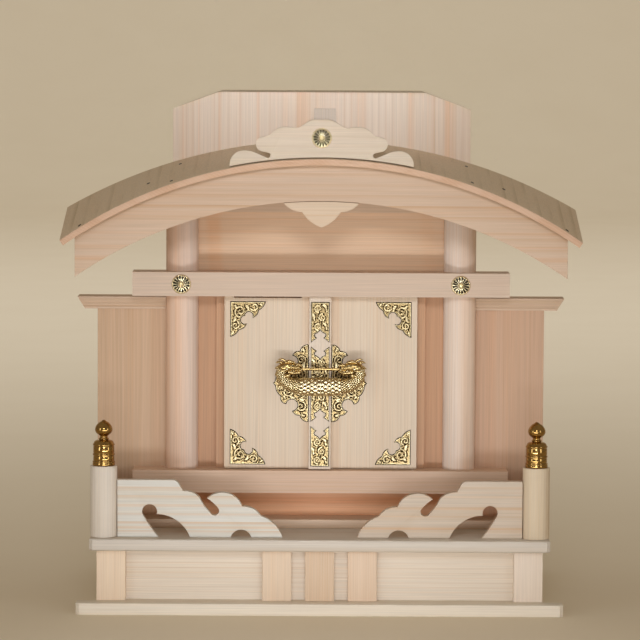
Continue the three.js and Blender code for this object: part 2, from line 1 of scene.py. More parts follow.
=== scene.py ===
"""Looks of the household altar cabinet: eased boards of pale cypress, chased brass plates, petalled
bosses, turned finials and a cast padlock, each laid over the frame's node of the same place. Lengths in
the tables are millimetres, and MM turns them into metres. +Z is up and the front faces -Y."""
import math

import bpy
import numpy as np
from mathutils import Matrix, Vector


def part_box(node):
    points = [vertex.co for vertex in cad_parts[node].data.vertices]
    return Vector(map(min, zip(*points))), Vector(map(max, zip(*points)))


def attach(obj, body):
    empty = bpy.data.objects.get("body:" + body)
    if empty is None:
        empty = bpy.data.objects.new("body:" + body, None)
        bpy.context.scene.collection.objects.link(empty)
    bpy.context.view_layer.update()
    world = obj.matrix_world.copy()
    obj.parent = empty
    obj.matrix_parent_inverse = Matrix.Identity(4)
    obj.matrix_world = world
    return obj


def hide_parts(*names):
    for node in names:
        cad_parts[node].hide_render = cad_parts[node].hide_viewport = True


MM = 0.001
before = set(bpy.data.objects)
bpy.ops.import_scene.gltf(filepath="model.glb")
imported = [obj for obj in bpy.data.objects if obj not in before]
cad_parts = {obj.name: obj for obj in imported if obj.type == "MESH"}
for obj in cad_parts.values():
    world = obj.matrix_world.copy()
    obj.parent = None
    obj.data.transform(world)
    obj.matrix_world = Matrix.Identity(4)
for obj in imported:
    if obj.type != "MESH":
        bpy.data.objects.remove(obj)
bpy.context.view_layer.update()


def box_mm(node):
    """The low and the high corner of a node's box, in millimetres."""
    return [np.array(corner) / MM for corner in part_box(node)]


def depths(node):
    """Where a node starts and ends from front to back, in millimetres."""
    return [corner[1] for corner in box_mm(node)]


# Places and sizes shared by several pieces, in millimetres
FRONT = depths("base_board")[0]
DECK_TOP = box_mm("deck_board")[1][2]
WALL = depths("door_surround")[1] - 10
LEAF_FRONT = depths("door_left")[0]
ROOF_FRONT = depths("porch_roof")[0]
POST_X = 218
POST_RADIUS = 13.6
COLUMN_X = 142.8
COLUMN_RADIUS = 16.6
PIN_X = 94.85
EASE = 0.5
SIDES = (("left", -1), ("right", 1))


# Meshes

def stacked(*columns):
    """Points out of their columns, each stretched to the others' shape."""
    return np.stack(np.broadcast_arrays(*columns), -1)


def flipped(faces):
    """The same faces, seen from their other side."""
    return [tuple(reversed(face)) for face in faces]


def turned_over(part, signs):
    """A part with the signs of its axes changed, its faces flipped where that mirrors it."""
    points, faces = part
    return points * signs, flipped(faces) if np.prod(signs) < 0 else faces


def grid_faces(rows, columns, wrap):
    """Four-sided faces of a grid: the face at (r, c) joins the points (r, c), (r, c+1), (r+1, c+1) and
    (r+1, c). Where the grid wraps, the last column joins the first."""
    last = columns if wrap else columns - 1
    r, c = np.meshgrid(np.arange(rows - 1), np.arange(last), indexing="ij")
    n = (c + 1) % columns
    faces = stacked(r * columns + c, r * columns + n, (r + 1) * columns + n, (r + 1) * columns + c)
    return faces.reshape(-1, 4)


def shell(rings, closed=True):
    """A skin through equal rings of points, rings[i, k] = (x, y, z), with a flat cap on each end."""
    rings = np.asarray(rings, dtype=float)
    count, around = rings.shape[:2]
    faces = [tuple(face) for face in grid_faces(count, around, True)]
    if closed:
        faces.append(tuple(range(around - 1, -1, -1)))
        faces.append(tuple(range((count - 1) * around, count * around)))
    return rings.reshape(-1, 3), faces


def joined(parts):
    """One list of points and one of faces out of several, each part's faces moved up by the points
    before it."""
    points, faces, start = [], [], 0
    for part_points, part_faces in parts:
        points.append(np.asarray(part_points, dtype=float))
        faces.extend(tuple(int(i) + start for i in face) for face in part_faces)
        start += len(part_points)
    return np.concatenate(points), faces


def linked(name, data):
    """A new object at the origin of the scene."""
    obj = bpy.data.objects.new(name, data)
    bpy.context.scene.collection.objects.link(obj)
    return obj


def piece(name, part, material, body, *nodes, crease=35, relief=None):
    """Puts points in millimetres and faces into a mesh at the origin, smooth across edges under the crease
    angle."""
    points, faces = part
    mesh = bpy.data.meshes.new(name)
    mesh.from_pydata((points * MM).tolist(), [], faces)
    mesh.update()
    if relief is not None:
        layer = mesh.attributes.new("relief", "FLOAT", "POINT")
        layer.data.foreach_set("value", np.asarray(relief, dtype=np.float32))
    mesh.polygons.foreach_set("use_smooth", np.ones(len(mesh.polygons), dtype=bool))
    mesh.set_sharp_from_angle(angle=math.radians(crease))
    mesh.materials.append(material)
    obj = linked(name, mesh)
    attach(obj, body)
    if nodes:
        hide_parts(*nodes)
    return obj


# Outlines

def full_turn(count):
    """Equal angles once round a circle."""
    return np.linspace(0, 2 * math.pi, count + 1)[:-1]


def circle(x, y, radius, count):
    """Points round a circle in plan."""
    turn = full_turn(count)
    return stacked(x + radius * np.cos(turn), y + radius * np.sin(turn))


def outline(corners, tolerance=0.02):
    """Points round a list of corners (across, up, bulge). An edge with a bulge is an arc that rises by
    bulge times half its chord: its radius is h (1 + b^2) / (2 |b|) for a half chord h, and its sweep is
    4 atan b. Steps are short enough to stay within the tolerance of the arc."""
    points = []
    for (x0, y0, *rest), (x1, y1, *_) in zip(corners, corners[1:] + corners[:1]):
        bulge = rest[0] if rest else 0
        points.append(np.array([[x0, y0]], dtype=float))
        if bulge == 0:
            continue
        half = math.hypot(x1 - x0, y1 - y0) / 2
        radius = half * (1 + bulge * bulge) / (2 * abs(bulge))
        lean = (1 - bulge * bulge) / (4 * bulge)
        centre = ((x0 + x1) / 2 - (y1 - y0) * lean, (y0 + y1) / 2 + (x1 - x0) * lean)
        sweep = 4 * math.atan(bulge)
        step = 2 * math.acos(1 - min(tolerance / radius, 0.3))
        steps = max(3, math.ceil(abs(sweep) / step))
        angle = math.atan2(y0 - centre[1], x0 - centre[0]) + sweep * np.arange(1, steps) / steps
        points.append(stacked(centre[0] + radius * np.cos(angle), centre[1] + radius * np.sin(angle)))
    return np.concatenate(points)


def inset(points, amount):
    """The outline moved inwards: each corner moves along the mean of its two edges' inward normals,
    divided by one plus the cosine between them, which keeps the edges parallel."""
    ahead = np.roll(points, -1, axis=0) - points
    ahead /= np.linalg.norm(ahead, axis=1, keepdims=True) + 1e-12
    inward = stacked(-ahead[:, 1], ahead[:, 0])
    before = np.roll(inward, 1, axis=0)
    cosine = np.sum(inward * before, axis=1, keepdims=True)
    return points + amount * (inward + before) / np.maximum(1 + cosine, 0.5)


def rectangle(low, high, ease=EASE):
    """A rectangle with each corner rounded by a quarter circle."""
    (x0, y0), (x1, y1), quarter = low, high, math.tan(math.pi / 8)
    return outline([(x0 + ease, y0), (x1 - ease, y0, quarter), (x1, y0 + ease), (x1, y1 - ease, quarter),
                    (x1 - ease, y1), (x0 + ease, y1, quarter), (x0, y1 - ease), (x0, y0 + ease, quarter)],
                   0.05)


PLACE = {
    "X": lambda a, b, t: stacked(t, a, b),
    "Y": lambda a, b, t: stacked(a, t, b),
    "Z": lambda a, b, t: stacked(a, b, t),
}


def carried(points, axis, start, end, ease=EASE, steps=3):
    """The outline carried along an axis, with both ends eased by a quarter circle: at the angle q the ring
    is inset by ease (1 - sin q) and stands ease (1 - cos q) in from the end."""
    quarter = np.linspace(0, math.pi / 2, steps)
    insets = ease * (1 - np.sin(quarter))
    depths = ease * (1 - np.cos(quarter))
    rings = [(start + d, i) for d, i in zip(depths, insets)]
    rings += [(end - d, i) for d, i in zip(depths[::-1], insets[::-1])]
    stack = []
    for along, amount in rings:
        ring = inset(points, amount) if amount > 0 else points
        stack.append(PLACE[axis](ring[:, 0], ring[:, 1], along))
    part = shell(stack)
    return (part[0], flipped(part[1])) if axis == "Y" else part


def board(node, axis="Z", ease=EASE):
    """A box with eased edges that fills a node's box, carried along the axis of its grain."""
    low, high = box_mm(node)
    a, b, t = {"X": (1, 2, 0), "Y": (0, 2, 1), "Z": (0, 1, 2)}[axis]
    return carried(rectangle((low[a], low[b]), (high[a], high[b]), ease), axis, low[t], high[t], ease)


def smooth_path(stations, count):
    """A smooth run through the stations' columns: cubic pieces that pass through every station, with the
    slope at each one taken from its two neighbours."""
    stations = np.asarray(stations, dtype=float)
    knots = np.linspace(0, len(stations) - 1, count)
    i = np.minimum(knots.astype(int), len(stations) - 2)
    t = (knots - i)[:, None]
    padded = np.concatenate([stations[:1], stations, stations[-1:]])
    p0, p1, p2, p3 = padded[i], padded[i + 1], padded[i + 2], padded[i + 3]
    return 0.5 * (2 * p1 + (p2 - p0) * t + (2 * p0 - 5 * p1 + 4 * p2 - p3) * t ** 2
                  + (3 * p1 - p0 - 3 * p2 + p3) * t ** 3)


# Materials

def srgb(red, green, blue):
    """A colour given as it looks on screen, 0 to 255, as the linear values that a shader takes."""
    value = np.array([red, green, blue]) / 255
    linear = np.where(value <= 0.04045, value / 12.92, ((value + 0.055) / 1.055) ** 2.4)
    return (*linear, 1)


class Graph:
    """A material's node tree, with one short call for each node."""

    def __init__(self, name):
        """Starts a material, with the place on the object as its first value."""
        self.material = bpy.data.materials.new(name)
        self.material.use_nodes = True
        self.tree = self.material.node_tree
        self.shader = self.tree.nodes["Principled BSDF"]
        self.place = self.node("TexCoord").outputs["Object"]

    def node(self, kind, inputs=(), **settings):
        """A new node with its settings and inputs."""
        node = self.tree.nodes.new("ShaderNode" + kind)
        for key, value in settings.items():
            setattr(node, key, value)
        for key, value in dict(inputs).items():
            self.set(node.inputs[key], value)
        return node

    def set(self, socket, value):
        """Joins another node's result to a socket, or sets a constant on it."""
        if isinstance(value, bpy.types.NodeSocket):
            self.tree.links.new(value, socket)
        else:
            socket.default_value = value

    def math(self, operation, a, b=0.0):
        """One step of arithmetic."""
        return self.node("Math", {0: a, 1: b}, operation=operation).outputs[0]

    def times(self, a, b):
        """One value times the other."""
        return self.math("MULTIPLY", a, b)

    def mix(self, factor, a, b, blend="MIX"):
        """The first colour with the second laid over it by the factor."""
        return self.node("Mix", {0: factor, 6: a, 7: b}, data_type="RGBA", blend_type=blend).outputs[2]

    def remap(self, value, low, high, start=0.0, end=1.0, kind="LINEAR"):
        """Runs from low to high while the value goes from start to end."""
        return self.node("MapRange", {"Value": value, "From Min": start, "From Max": end, "To Min": low,
                                      "To Max": high}, interpolation_type=kind).outputs[0]

    def ramp(self, value, start, end):
        """A smooth step from 0 to 1 while the value goes from start to end."""
        return self.remap(value, 0.0, 1.0, start, end, "SMOOTHSTEP")

    def mapped(self, vector, **settings):
        """A place moved, turned and scaled."""
        return self.node("Mapping", {"Vector": vector, **settings}).outputs[0]

    def waves(self, vector, scale, distortion, detail_scale, direction):
        """Saw-toothed waves along one direction, bent by noise."""
        node = self.node("TexWave", {"Vector": vector, "Scale": scale, "Distortion": distortion,
                                     "Detail": 2.0, "Detail Scale": detail_scale},
                         wave_type="BANDS", bands_direction=direction, wave_profile="SAW")
        return node.outputs["Fac"]

    def noise(self, vector, scale, detail=2.0, rough=0.5):
        """Soft noise, about 0.5 in the middle."""
        return self.node("TexNoise", {"Vector": vector, "Scale": scale, "Detail": detail,
                                      "Roughness": rough}).outputs["Fac"]

    def finish(self, colour, rough, height, strength, distance, specular=0.5, metallic=0.0):
        """Gives the shader its colour, its roughness and a bump, and returns the material."""
        bump = self.node("Bump", {"Height": height, "Strength": strength, "Distance": distance})
        values = {"Base Color": colour, "Roughness": rough, "Normal": bump.outputs[0],
                  "Specular IOR Level": specular, "Metallic": metallic}
        for socket, value in values.items():
            self.set(self.shader.inputs[socket], value)
        return self.material


TURN = {"X": (0, math.pi / 2, 0), "Y": (math.pi / 2, 0, 0), "Z": (0, 0, 0)}


def cypress(name, tone, along, seed, spacing=4.0, figure=0.6, heartwood_and_shade_streaks=(), line=None):
    """Planed cypress: growth lines run along one axis and wander slowly, the late wood is a thin warmer
    line, broad bands drift in tone, and fine fibres break the sheen. Darker streaks stand for heartwood on
    some boards and for painted shade on others; each is given by the axis across it, its middle, its half
    width and its strength."""
    graph = Graph("wood_" + name)
    shift = (0.37 * seed, 0.21 * seed, 0.13 * seed)
    turned = graph.mapped(graph.place, Rotation=TURN[along], Location=shift)
    drawn = graph.mapped(turned, Scale=(1, 1, 0.035))
    long = graph.mapped(turned, Scale=(1, 1, 0.012))

    drift = graph.noise(drawn, 14, 2)
    bands = graph.waves(drawn, 0.314 / (spacing * MM), 9.0, 0.09, "X")
    late = graph.ramp(bands, 0.55, 0.97)
    faint = graph.ramp(graph.noise(long, 60, 2), 0.35, 0.7)
    lines = graph.times(late, faint)
    fibre = graph.noise(long, 900, 3, 0.6)
    streak = graph.ramp(graph.noise(long, 170, 2), 0.42, 0.72)

    base = np.array(srgb(*tone))
    warm = np.array(srgb(*line)) if line else base * np.array([0.9, 0.76, 0.6, 1])
    colour = graph.mix(graph.times(lines, 0.95 * figure), tuple(base), tuple(warm))
    colour = graph.mix(graph.times(streak, 0.6 * figure), colour,
                       tuple(base * np.array([0.95, 0.87, 0.77, 1])))
    colour = graph.mix(graph.times(graph.ramp(drift, 0.35, 0.65), 0.6 * figure), colour,
                       tuple(np.minimum(base * np.array([1.04, 1.08, 1.12, 1]), 1)))
    if heartwood_and_shade_streaks:
        split = graph.node("SeparateXYZ", {"Vector": graph.place})
        wander = graph.times(graph.math("SUBTRACT", graph.noise(drawn, 9, 2), 0.5), 0.012)
        uneven = graph.math("ADD", 0.55, graph.times(streak, 0.45))
        # Colour of the darker streaks, for heartwood and for painted shade alike.
        heartwood_and_shade_tone = tuple(base * np.array([1.0, 0.82, 0.66, 1]))
        for axis, middle, half, strength in heartwood_and_shade_streaks:
            across = graph.math("ADD", split.outputs[axis], wander)
            away = graph.math("ABSOLUTE", graph.math("SUBTRACT", across, middle * MM))
            amount = graph.times(graph.ramp(away, half * MM, 0.25 * half * MM), uneven)
            colour = graph.mix(graph.times(amount, strength), colour, heartwood_and_shade_tone)
    shade = graph.remap(fibre, 0.88, 1.07, 0.25, 0.75)
    grey = graph.node("CombineColor", {"Red": shade, "Green": shade, "Blue": shade}).outputs[0]
    colour = graph.mix(1.0, colour, grey, "MULTIPLY")

    height = graph.math("ADD", graph.times(fibre, 0.6), graph.times(late, 0.4))
    return graph.finish(colour, graph.remap(fibre, 0.46, 0.62), height, 0.12, 0.0004, 0.3)


def end_grain(name, tone, seed):
    """Sawn end grain: rings bend across the cut, darker and redder than the board's face, with the ends
    of fibres as fine specks."""
    graph = Graph(name)
    moved = graph.mapped(graph.place, Scale=(1, 0.1, 1.6), Location=(0.3 * seed, 0, 0.2))
    rings = graph.waves(moved, 120, 5.0, 0.4, "DIAGONAL")
    patches = graph.ramp(graph.noise(moved, 34, 2), 0.35, 0.65)
    specks = graph.noise(graph.place, 1500, 2)
    base = np.array(srgb(*tone))
    colour = graph.mix(graph.times(rings, 0.4), tuple(base), tuple(base * [0.8, 0.66, 0.55, 1]))
    colour = graph.mix(graph.times(patches, 0.45), colour, tuple(base * [1.1, 1.2, 1.3, 1]))
    colour = graph.mix(graph.times(specks, 0.25), colour, tuple(base * [0.7, 0.6, 0.5, 1]))
    return graph.finish(colour, 0.7, specks, 0.25, 0.0004, 0.2)


def plain_brass(name, tone, dark, low, high):
    """Polished gilt brass with a thin uneven tarnish."""
    graph = Graph(name)
    cloud = graph.ramp(graph.noise(graph.place, 260, 3), 0.35, 0.75)
    fine = graph.noise(graph.place, 2600, 2)
    colour = graph.mix(graph.times(cloud, 0.35), srgb(*tone), srgb(*dark))
    return graph.finish(colour, graph.remap(cloud, low, high), fine, 0.05, 0.0002, metallic=1.0)


def chased_brass(name, tone, dark, bright, recess_rough, top_rough):
    """Chased brass: the relief attribute is 0 in the darkened ground, 0.5 on the plain metal and 1 on the
    polished tops. Small dents from the punch break up its reflections."""
    graph = Graph(name)
    relief = graph.node("Attribute", attribute_name="relief").outputs["Fac"]
    cloud = graph.noise(graph.place, 420, 3)
    lifted = graph.math("ADD", relief, graph.times(graph.math("SUBTRACT", cloud, 0.5), 0.3))
    clean = graph.ramp(lifted, 0.1, 0.5)
    shine = graph.ramp(lifted, 0.55, 0.95)
    colour = graph.mix(shine, graph.mix(clean, srgb(*dark), srgb(*tone)), srgb(*bright))
    dents = graph.noise(graph.place, 620, 1)
    rough = graph.remap(clean, recess_rough, top_rough)
    return graph.finish(colour, rough, dents, 0.35, 0.0006, metallic=1.0)


BRASS_PLATE = chased_brass("chased_brass", (176, 152, 106), (24, 16, 8), (216, 200, 156), 0.5, 0.36)
BRASS_CAST = chased_brass("cast_brass", (186, 158, 104), (14, 9, 4), (240, 226, 184), 0.6, 0.26)
BRASS_TURNED = plain_brass("turned_brass", (176, 140, 80), (88, 64, 36), 0.05, 0.1)

PALE = (222, 206, 182)


# Camera

def add_camera():
    """A camera straight in front and a little above. Its focal length is given in pixels."""
    distance, height, focal, image_side = 3.6, 0.6017, 3631.4, 640
    pitch = math.radians(4.823)
    yaw = math.radians(0.039)
    roll = math.radians(-0.301)
    data = bpy.data.cameras.new("camera")
    data.sensor_width = 36
    data.lens = focal * data.sensor_width / image_side
    data.clip_end = 200
    camera = linked("camera", data)
    camera.rotation_mode = "XYZ"
    camera.rotation_euler = (math.pi / 2 - pitch, roll, yaw)
    camera.location = (0, FRONT * MM - distance, height)
    bpy.context.scene.camera = camera


# Plain boards

def add_boards():
    """Every straight board of the frame, with eased edges and its grain along its length. A row gives the
    node, the axis of its grain, its tone, seed, spacing of growth lines, figure and darker streaks, some of
    heartwood and some of painted shade."""
    table = [
        ("plinth_stile_1", "Z", (233, 209, 180), 2, 2.6, 0.7),
        ("plinth_stile_2", "Z", (226, 202, 174), 3, 2.4, 0.7),
        ("plinth_stile_3", "Z", (217, 190, 160), 4, 2.6, 0.7),
        ("plinth_stile_4", "Z", (225, 199, 171), 5, 2.2, 0.7),
        ("plinth_stile_5", "Z", (227, 208, 186), 6, 2.6, 0.6),
        ("plinth_front_panel", "X", (228, 213, 192), 7, 5.0, 0.5),
        ("plinth_side_panel_left", "Y", (220, 204, 180), 8, 5.0, 0.6),
        ("plinth_side_panel_right", "Y", (220, 204, 180), 9, 5.0, 0.6),
        ("plinth_back_panel", "X", (218, 200, 176), 10, 5.0, 0.6),
        ("ground_sill", "X", (218, 190, 162), 13, 4.0, 0.5),
        ("top_rail", "X", (216, 186, 156), 15, 3.0, 0.5),
        # Kick panel: its deep orange tone is painted warm bounce light, and the band at 99 mm is painted
        # shade under the sill.
        ("kick_panel", "X", (238, 184, 140), 16, 5.0, 0.5, [(2, 99, 6, 0.8)]),
        # Frieze: the bands at -110 and 110 mm are painted shadows of the columns, stronger on the left; the
        # band at 378 mm is a narrow darker band.
        ("frieze_panel", "X", (228, 193, 158), 17, 7.0, 0.9,
         [(0, -110, 11, 0.7), (0, 110, 11, 0.25), (2, 378, 3, 0.4)]),
        ("box_side_left", "Z", (220, 198, 170), 18, 4.5, 0.8),
        ("box_side_right", "Z", (220, 198, 170), 19, 4.5, 0.8),
        ("box_floor", "Y", PALE, 20, 5.0, 0.6),
        # Side screens: the bands round 72 to 76 mm are painted shadow of the rails over the screens' feet,
        # deeper on the right; the upright bands at -170 and 176 mm are narrower darker bands.
        ("side_screen_left", "Z", (206, 174, 142), 21, 4.0, 0.5, [(2, 76, 52, 0.9), (0, -170, 7, 0.35)]),
        ("side_screen_right", "Z", (206, 170, 140), 22, 4.0, 0.5,
         [(2, 76, 60, 1.0), (2, 72, 52, 1.0), (0, 176, 9, 0.35)]),
        ("door_strip", "Z", (228, 210, 188), 23, 2.2, 0.5),
    ]
    for node, along, tone, *wood in table:
        body = "left_door" if node == "door_strip" else "cabinet"
        piece(node + "_board", board(node, along), cypress(node, tone, along, *wood), body, node)


def add_base_and_deck():
    """The base board has a wider lip along the front; the deck has its four corners cut off."""
    (x0, y0, z0), (x1, y1, z1) = box_mm("base_board")
    cut, body, lip = 3.5, box_mm("plinth_stile_5")[1][0], y0 + 20
    points = outline([(x0 + cut, y0), (x1 - cut, y0), (x1, y0 + cut), (x1, lip), (body, lip), (body, y1),
                      (-body, y1), (-body, lip), (x0, lip), (x0, y0 + cut)])
    material = cypress("base_board", (228, 215, 194), "X", 1, 4.0, 0.5)
    piece("base_board_eased", carried(points, "Z", z0, z1, 0.8, 4), material, "cabinet", "base_board")

    (x0, y0, z0), (x1, y1, z1) = box_mm("deck_board")
    points = outline([(x0 + cut, y0), (x1 - cut, y0), (x1, y0 + cut), (x1, y1 - cut), (x1 - cut, y1),
                      (x0 + cut, y1), (x0, y1 - cut), (x0, y0 + cut)])
    material = cypress("deck_board", (208, 197, 181), "X", 81, 2.6, 0.8)
    piece("deck_board_eased", carried(points, "Z", z0, z1, 1.6, 4), material, "cabinet", "deck_board")


def finish_kept_boards():
    """Gives a wood of its own to each board that keeps its solid of the frame."""
    tower_streaks = [(0, -143.5, 1.6, 0.5), (0, -127, 1.8, 0.55), (0, -105, 2.0, 0.6), (0, -84, 1.8, 0.5),
                     (0, -66.5, 2.6, 0.8), (0, -38.7, 5, 0.45), (0, -21.6, 8, 0.95), (0, 40, 10, 0.4),
                     (0, 90, 4, 0.7), (0, 112, 3, 0.5), (0, 129, 7, 0.8)]
    table = [
        ("side_rail_left", "Y", PALE, 11, 6.0, 0.7),
        ("side_rail_right", "Y", PALE, 12, 6.0, 0.7),
        ("sill_plank", "X", (216, 184, 156), 14, 4.5, 0.5),
        ("beam", "X", (211, 187, 163), 91),
        ("door_surround", "Z", (203, 160, 124), 92),
        ("tower_front", "Z", (222, 201, 178), 93, 7.0, 1.0, tower_streaks),
        ("tower_cap", "Y", (214, 192, 164), 94),
        ("box_back", "Z", (216, 194, 166), 95),
        ("coping_left", "X", (212, 184, 156), 96),
        ("coping_right", "X", (210, 182, 154), 97),
    ]
    for node, along, tone, *wood in table:
        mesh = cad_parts[node].data
        mesh.materials.clear()
        mesh.materials.append(cypress(node, tone, along, *wood))


def add_doors():
    """Two plain leaves, each a board with eased edges over its node, and the pins at its outer corners.
    The left one has a shallow step along its top, which shows as a thin dark gap under the beam."""
    bottom, top, step = 134.7, 312.6, 1.9
    for name, side, seed in (("left", -1, 31), ("right", 1, 33)):
        node = "door_" + name
        low, high = box_mm(node)
        face = [(low[0], bottom), (high[0], bottom), (high[0], top), (low[0], top)]
        if name == "left":
            face[2:3] = [(high[0], top), (-20, top), (-20, top - step), (-89, top - step), (-89, top)]
        slab = carried(outline(face), "Y", low[1], high[1], 0.4)
        pin = carried(circle(side * PIN_X, LEAF_FRONT + 4.5, 3, 32), "Z", low[2], high[2], 0.3)
        # The bands 15.5 mm out from the middle are painted shade beside the strip; those 60 mm out are faint
        # darker bands.
        material = cypress(node, (224, 204, 178), "Z", seed, 3.4, 0.75,
                           [(0, side * 15.5, 6, 0.45), (0, side * 60, 9, 0.2)])
        piece(node + "_leaf", joined([slab, pin]), material, name + "_door", node)


# Boards cut to an outline

def sawn(node, points, material, ease=0.4, crease=35):
    """A board cut to an outline and as deep as its node."""
    y0, y1 = depths(node)
    piece(node + "_sawn", carried(points, "Y", y0, y1, ease), material, "cabinet", node, crease=crease)


def cloud_rail_outline():
    """The left railing board: an opening like a drop at the post, a hump and two curls at the free end."""
    end = -POST_X + POST_RADIUS + 0.3
    return outline([
        (end, DECK_TOP), (-162.8, DECK_TOP, -0.05), (-178.6, 97.8, -1.45), (-164.4, 98.2, -0.315),
        (-130.8, DECK_TOP), (-89.7, DECK_TOP, -0.77), (-69, DECK_TOP), (-37.6, DECK_TOP, 0.25),
        (-59.1, 96.6, 0.26), (-78.3, 106.6, 0.53), (-113.6, 114.5, -0.1), (-102, 104, -1),
        (-110.7, 100.1, -0.1), (-121.3, 115.5, 0.2), (-138.2, 122.1), (-141.4, 127.4, 0.3),
        (-148, 133), (end, 133)])


def add_cloud_rails():
    """The two railing boards, one the mirror of the other, each with bands of late wood along it."""
    y0, y1 = depths("cloud_rail_left")
    part = carried(cloud_rail_outline(), "Y", y0, y1, 0.35)
    for name, side, seed, tone in (("left", -1, 41, (216, 210, 197)), ("right", 1, 44, (203, 185, 163))):
        material = cypress("cloud_rail_" + name, tone, "X", seed, 9.0, 0.95,
                           [(2, 106, 2.4, 0.85), (2, 84, 2.0, 0.95), (2, 97, 1.2, 0.4), (2, 122, 1.4, 0.4)],
                           (212, 170, 122))
        piece("cloud_rail_board_" + name, turned_over(part, (-side, 1, 1)), material, "cabinet",
              "cloud_rail_" + name, crease=40)


ROOF = {"half": 261.5, "thickness": 6.3, "front": (457, 374.7), "back": (471.8, 401.7)}


def roof_arc(crown, end):
    """Radius, and angle from the crown to the end, of an arc that drops from crown to end over the
    roof's half width: r = (w^2 + d^2) / (2 d)."""
    drop = crown - end
    radius = (ROOF["half"] ** 2 + drop ** 2) / (2 * drop)
    return crown, radius, math.asin(ROOF["half"] / radius)


def roof_height(x, y, under=0.0):
    """Height of the roof's surface over a place: straight along y between the front and the back arc."""
    along = (y - ROOF_FRONT) / (WALL - ROOF_FRONT)
    heights = []
    for crown, radius, _ in (roof_arc(*ROOF["front"]), roof_arc(*ROOF["back"])):
        heights.append(crown - radius + np.sqrt((radius - under) ** 2 - np.asarray(x) ** 2))
    return (1 - along) * heights[0] + along * heights[1]


def add_roof():
    """Arched roof: point (u, v, s) lies on the arc of radius r - s at the angle u, between the front arc
    at v = 0 and the back arc at v = 1. Grooves between its boards are narrow dips in the top."""
    across, along = 241, 12
    u = np.linspace(-1, 1, across)
    y_front, y_back = depths("porch_roof")
    arcs = [roof_arc(*ROOF["front"]), roof_arc(*ROOF["back"])]
    joints = np.array([-0.78, -0.43, -0.105, 0.13, 0.4, 0.545, 0.82])

    def sheet(v, s):
        """One run of points across the roof, at the depth s under its top."""
        dip = 0.12 * np.exp(-((u[:, None] - joints) / 0.0022) ** 2).sum(1) if s == 0 else 0
        ends = []
        for crown, radius, reach in arcs:
            r = radius - s - dip
            ends.append(stacked(r * np.sin(reach * u), crown - radius + r * np.cos(reach * u)))
        flat = (1 - v) * ends[0] + v * ends[1]
        y = (1 - v) * y_front + v * y_back
        return stacked(flat[:, 0], y, flat[:, 1])

    thick, ease = ROOF["thickness"], 0.006
    levels = [(0, 0.8), (0, thick - 0.8), (ease * 0.3, thick - 0.2), (ease, thick)]
    levels += [(v, thick) for v in np.linspace(ease, 1, along)[1:]]
    levels += [(1, 0)]
    levels += [(v, 0) for v in np.linspace(1, ease, along)[1:]]
    levels += [(ease * 0.3, 0.2)]
    rows = np.stack([sheet(v, s) for v, s in levels], 1)
    points, faces = shell(rows)
    top = cypress("roof_top", (215, 192, 161), "Y", 51, 12.0, 0.5, line=(170, 144, 100))
    obj = piece("roof_boards", (points, faces), top, "cabinet", "porch_roof", crease=30)
    obj.data.materials.append(end_grain("wood_roof_edge", (214, 178, 148), 52))
    normals = np.zeros(len(obj.data.polygons) * 3)
    obj.data.polygons.foreach_get("normal", normals)
    forward = normals.reshape(-1, 3)[:, 1] < -0.7
    obj.data.polygons.foreach_set("material_index", forward.astype(np.int32))


def barge_lower(x):
    """Height of the barge board's lower edge, an arc of 434.8 mm whose crown stands at 414.6 mm."""
    crown, radius = 414.6, 434.8
    return crown - radius + np.sqrt(radius ** 2 - np.asarray(x) ** 2)


def add_barge_board():
    """The barge board lies between its lower arc and the roof's underside, and the pendant hangs on its
    middle."""
    y0 = depths("barge_board")[0]
    x = np.linspace(-247, 247, 161)
    lower = stacked(x, barge_lower(x))
    upper = stacked(x, roof_height(x, y0, ROOF["thickness"]) - 0.3)[::-1]
    material = cypress("barge", (207, 179, 152), "X", 61, 11.0, 1.0,
                       [(2, 357, 3.5, 0.7), (2, 369, 1.8, 0.6), (2, 383, 2.4, 0.35), (2, 404, 3, 0.3)])
    sawn("barge_board", np.concatenate([lower, upper]), material)

    half = 37.8
    shoulder = float(barge_lower(half)) - 0.3
    arch = float(barge_lower(0) - barge_lower(half)) / half
    points = outline([(0, 388.4, 0.18), (19.4, 403.9, 0.23), (half, shoulder, arch), (-half, shoulder, 0.23),
                      (-19.4, 403.9, 0.18)])
    sawn("pendant", points, cypress("pendant", (218, 194, 166), "X", 62, 5.0, 0.8), crease=40)


def add_crest_board():
    """The cloud-shaped crest board: its right half's outline, the same mirrored, and a foot that follows
    the roof."""
    y1 = depths("crest_board")[1]
    run = [(75.5, 465.2, 0.12), (66, 463), (55.4, 458.7, -1.05), (52.4, 462.9), (60.1, 464.7, 0.73),
           (61.4, 478.3), (54.5, 479.8, -0.2), (50.5, 482.1), (48.4, 484.7, 0.2), (36.5, 489, 0.05),
           (28, 488.1, -0.17), (20.9, 489.3), (15.5, 493, 0.2), (0, 496.2)]
    half, crown = 91.9, run[-1][1]
    corners = [(half, float(roof_height(half, y1)) + 0.3, 0.5)] + run
    bulges = [corner[2] if len(corner) > 2 else 0 for corner in corners]
    back = [(-x, z, bulge) for (x, z, *_), bulge in zip(corners[-2::-1], bulges[-3::-1] + [0])]
    front = [(x, z, bulge) for (x, z, *_), bulge in zip(corners[:-1], bulges)]
    upper = outline(front + [(0, crown, bulges[-2])] + back)
    foot_x = np.linspace(-half, half, 61)[1:-1]
    foot = stacked(foot_x, roof_height(foot_x, y1) + 0.3)
    material = cypress("crest", (209, 191, 167), "X", 63, 6.5, 0.8)
    sawn("crest_board", np.concatenate([upper, foot]), material, 0.35, 40)


def add_crest_brace():
    """The tapered block that stands behind the crest board, a little to the right of its middle."""
    (x0, _, z0), (x1, _, z1) = box_mm("crest_brace")
    points = outline([(x0, z0), (x1, z0), (x1 - 2.7, z1), (x0 + 2, z1)])
    # Its greyer, darker tone than the tower's is painted shade.
    sawn("crest_brace", points, cypress("crest_brace", (196, 178, 158), "Z", 64, 3.0, 0.8), crease=40)


# Columns, posts and finials

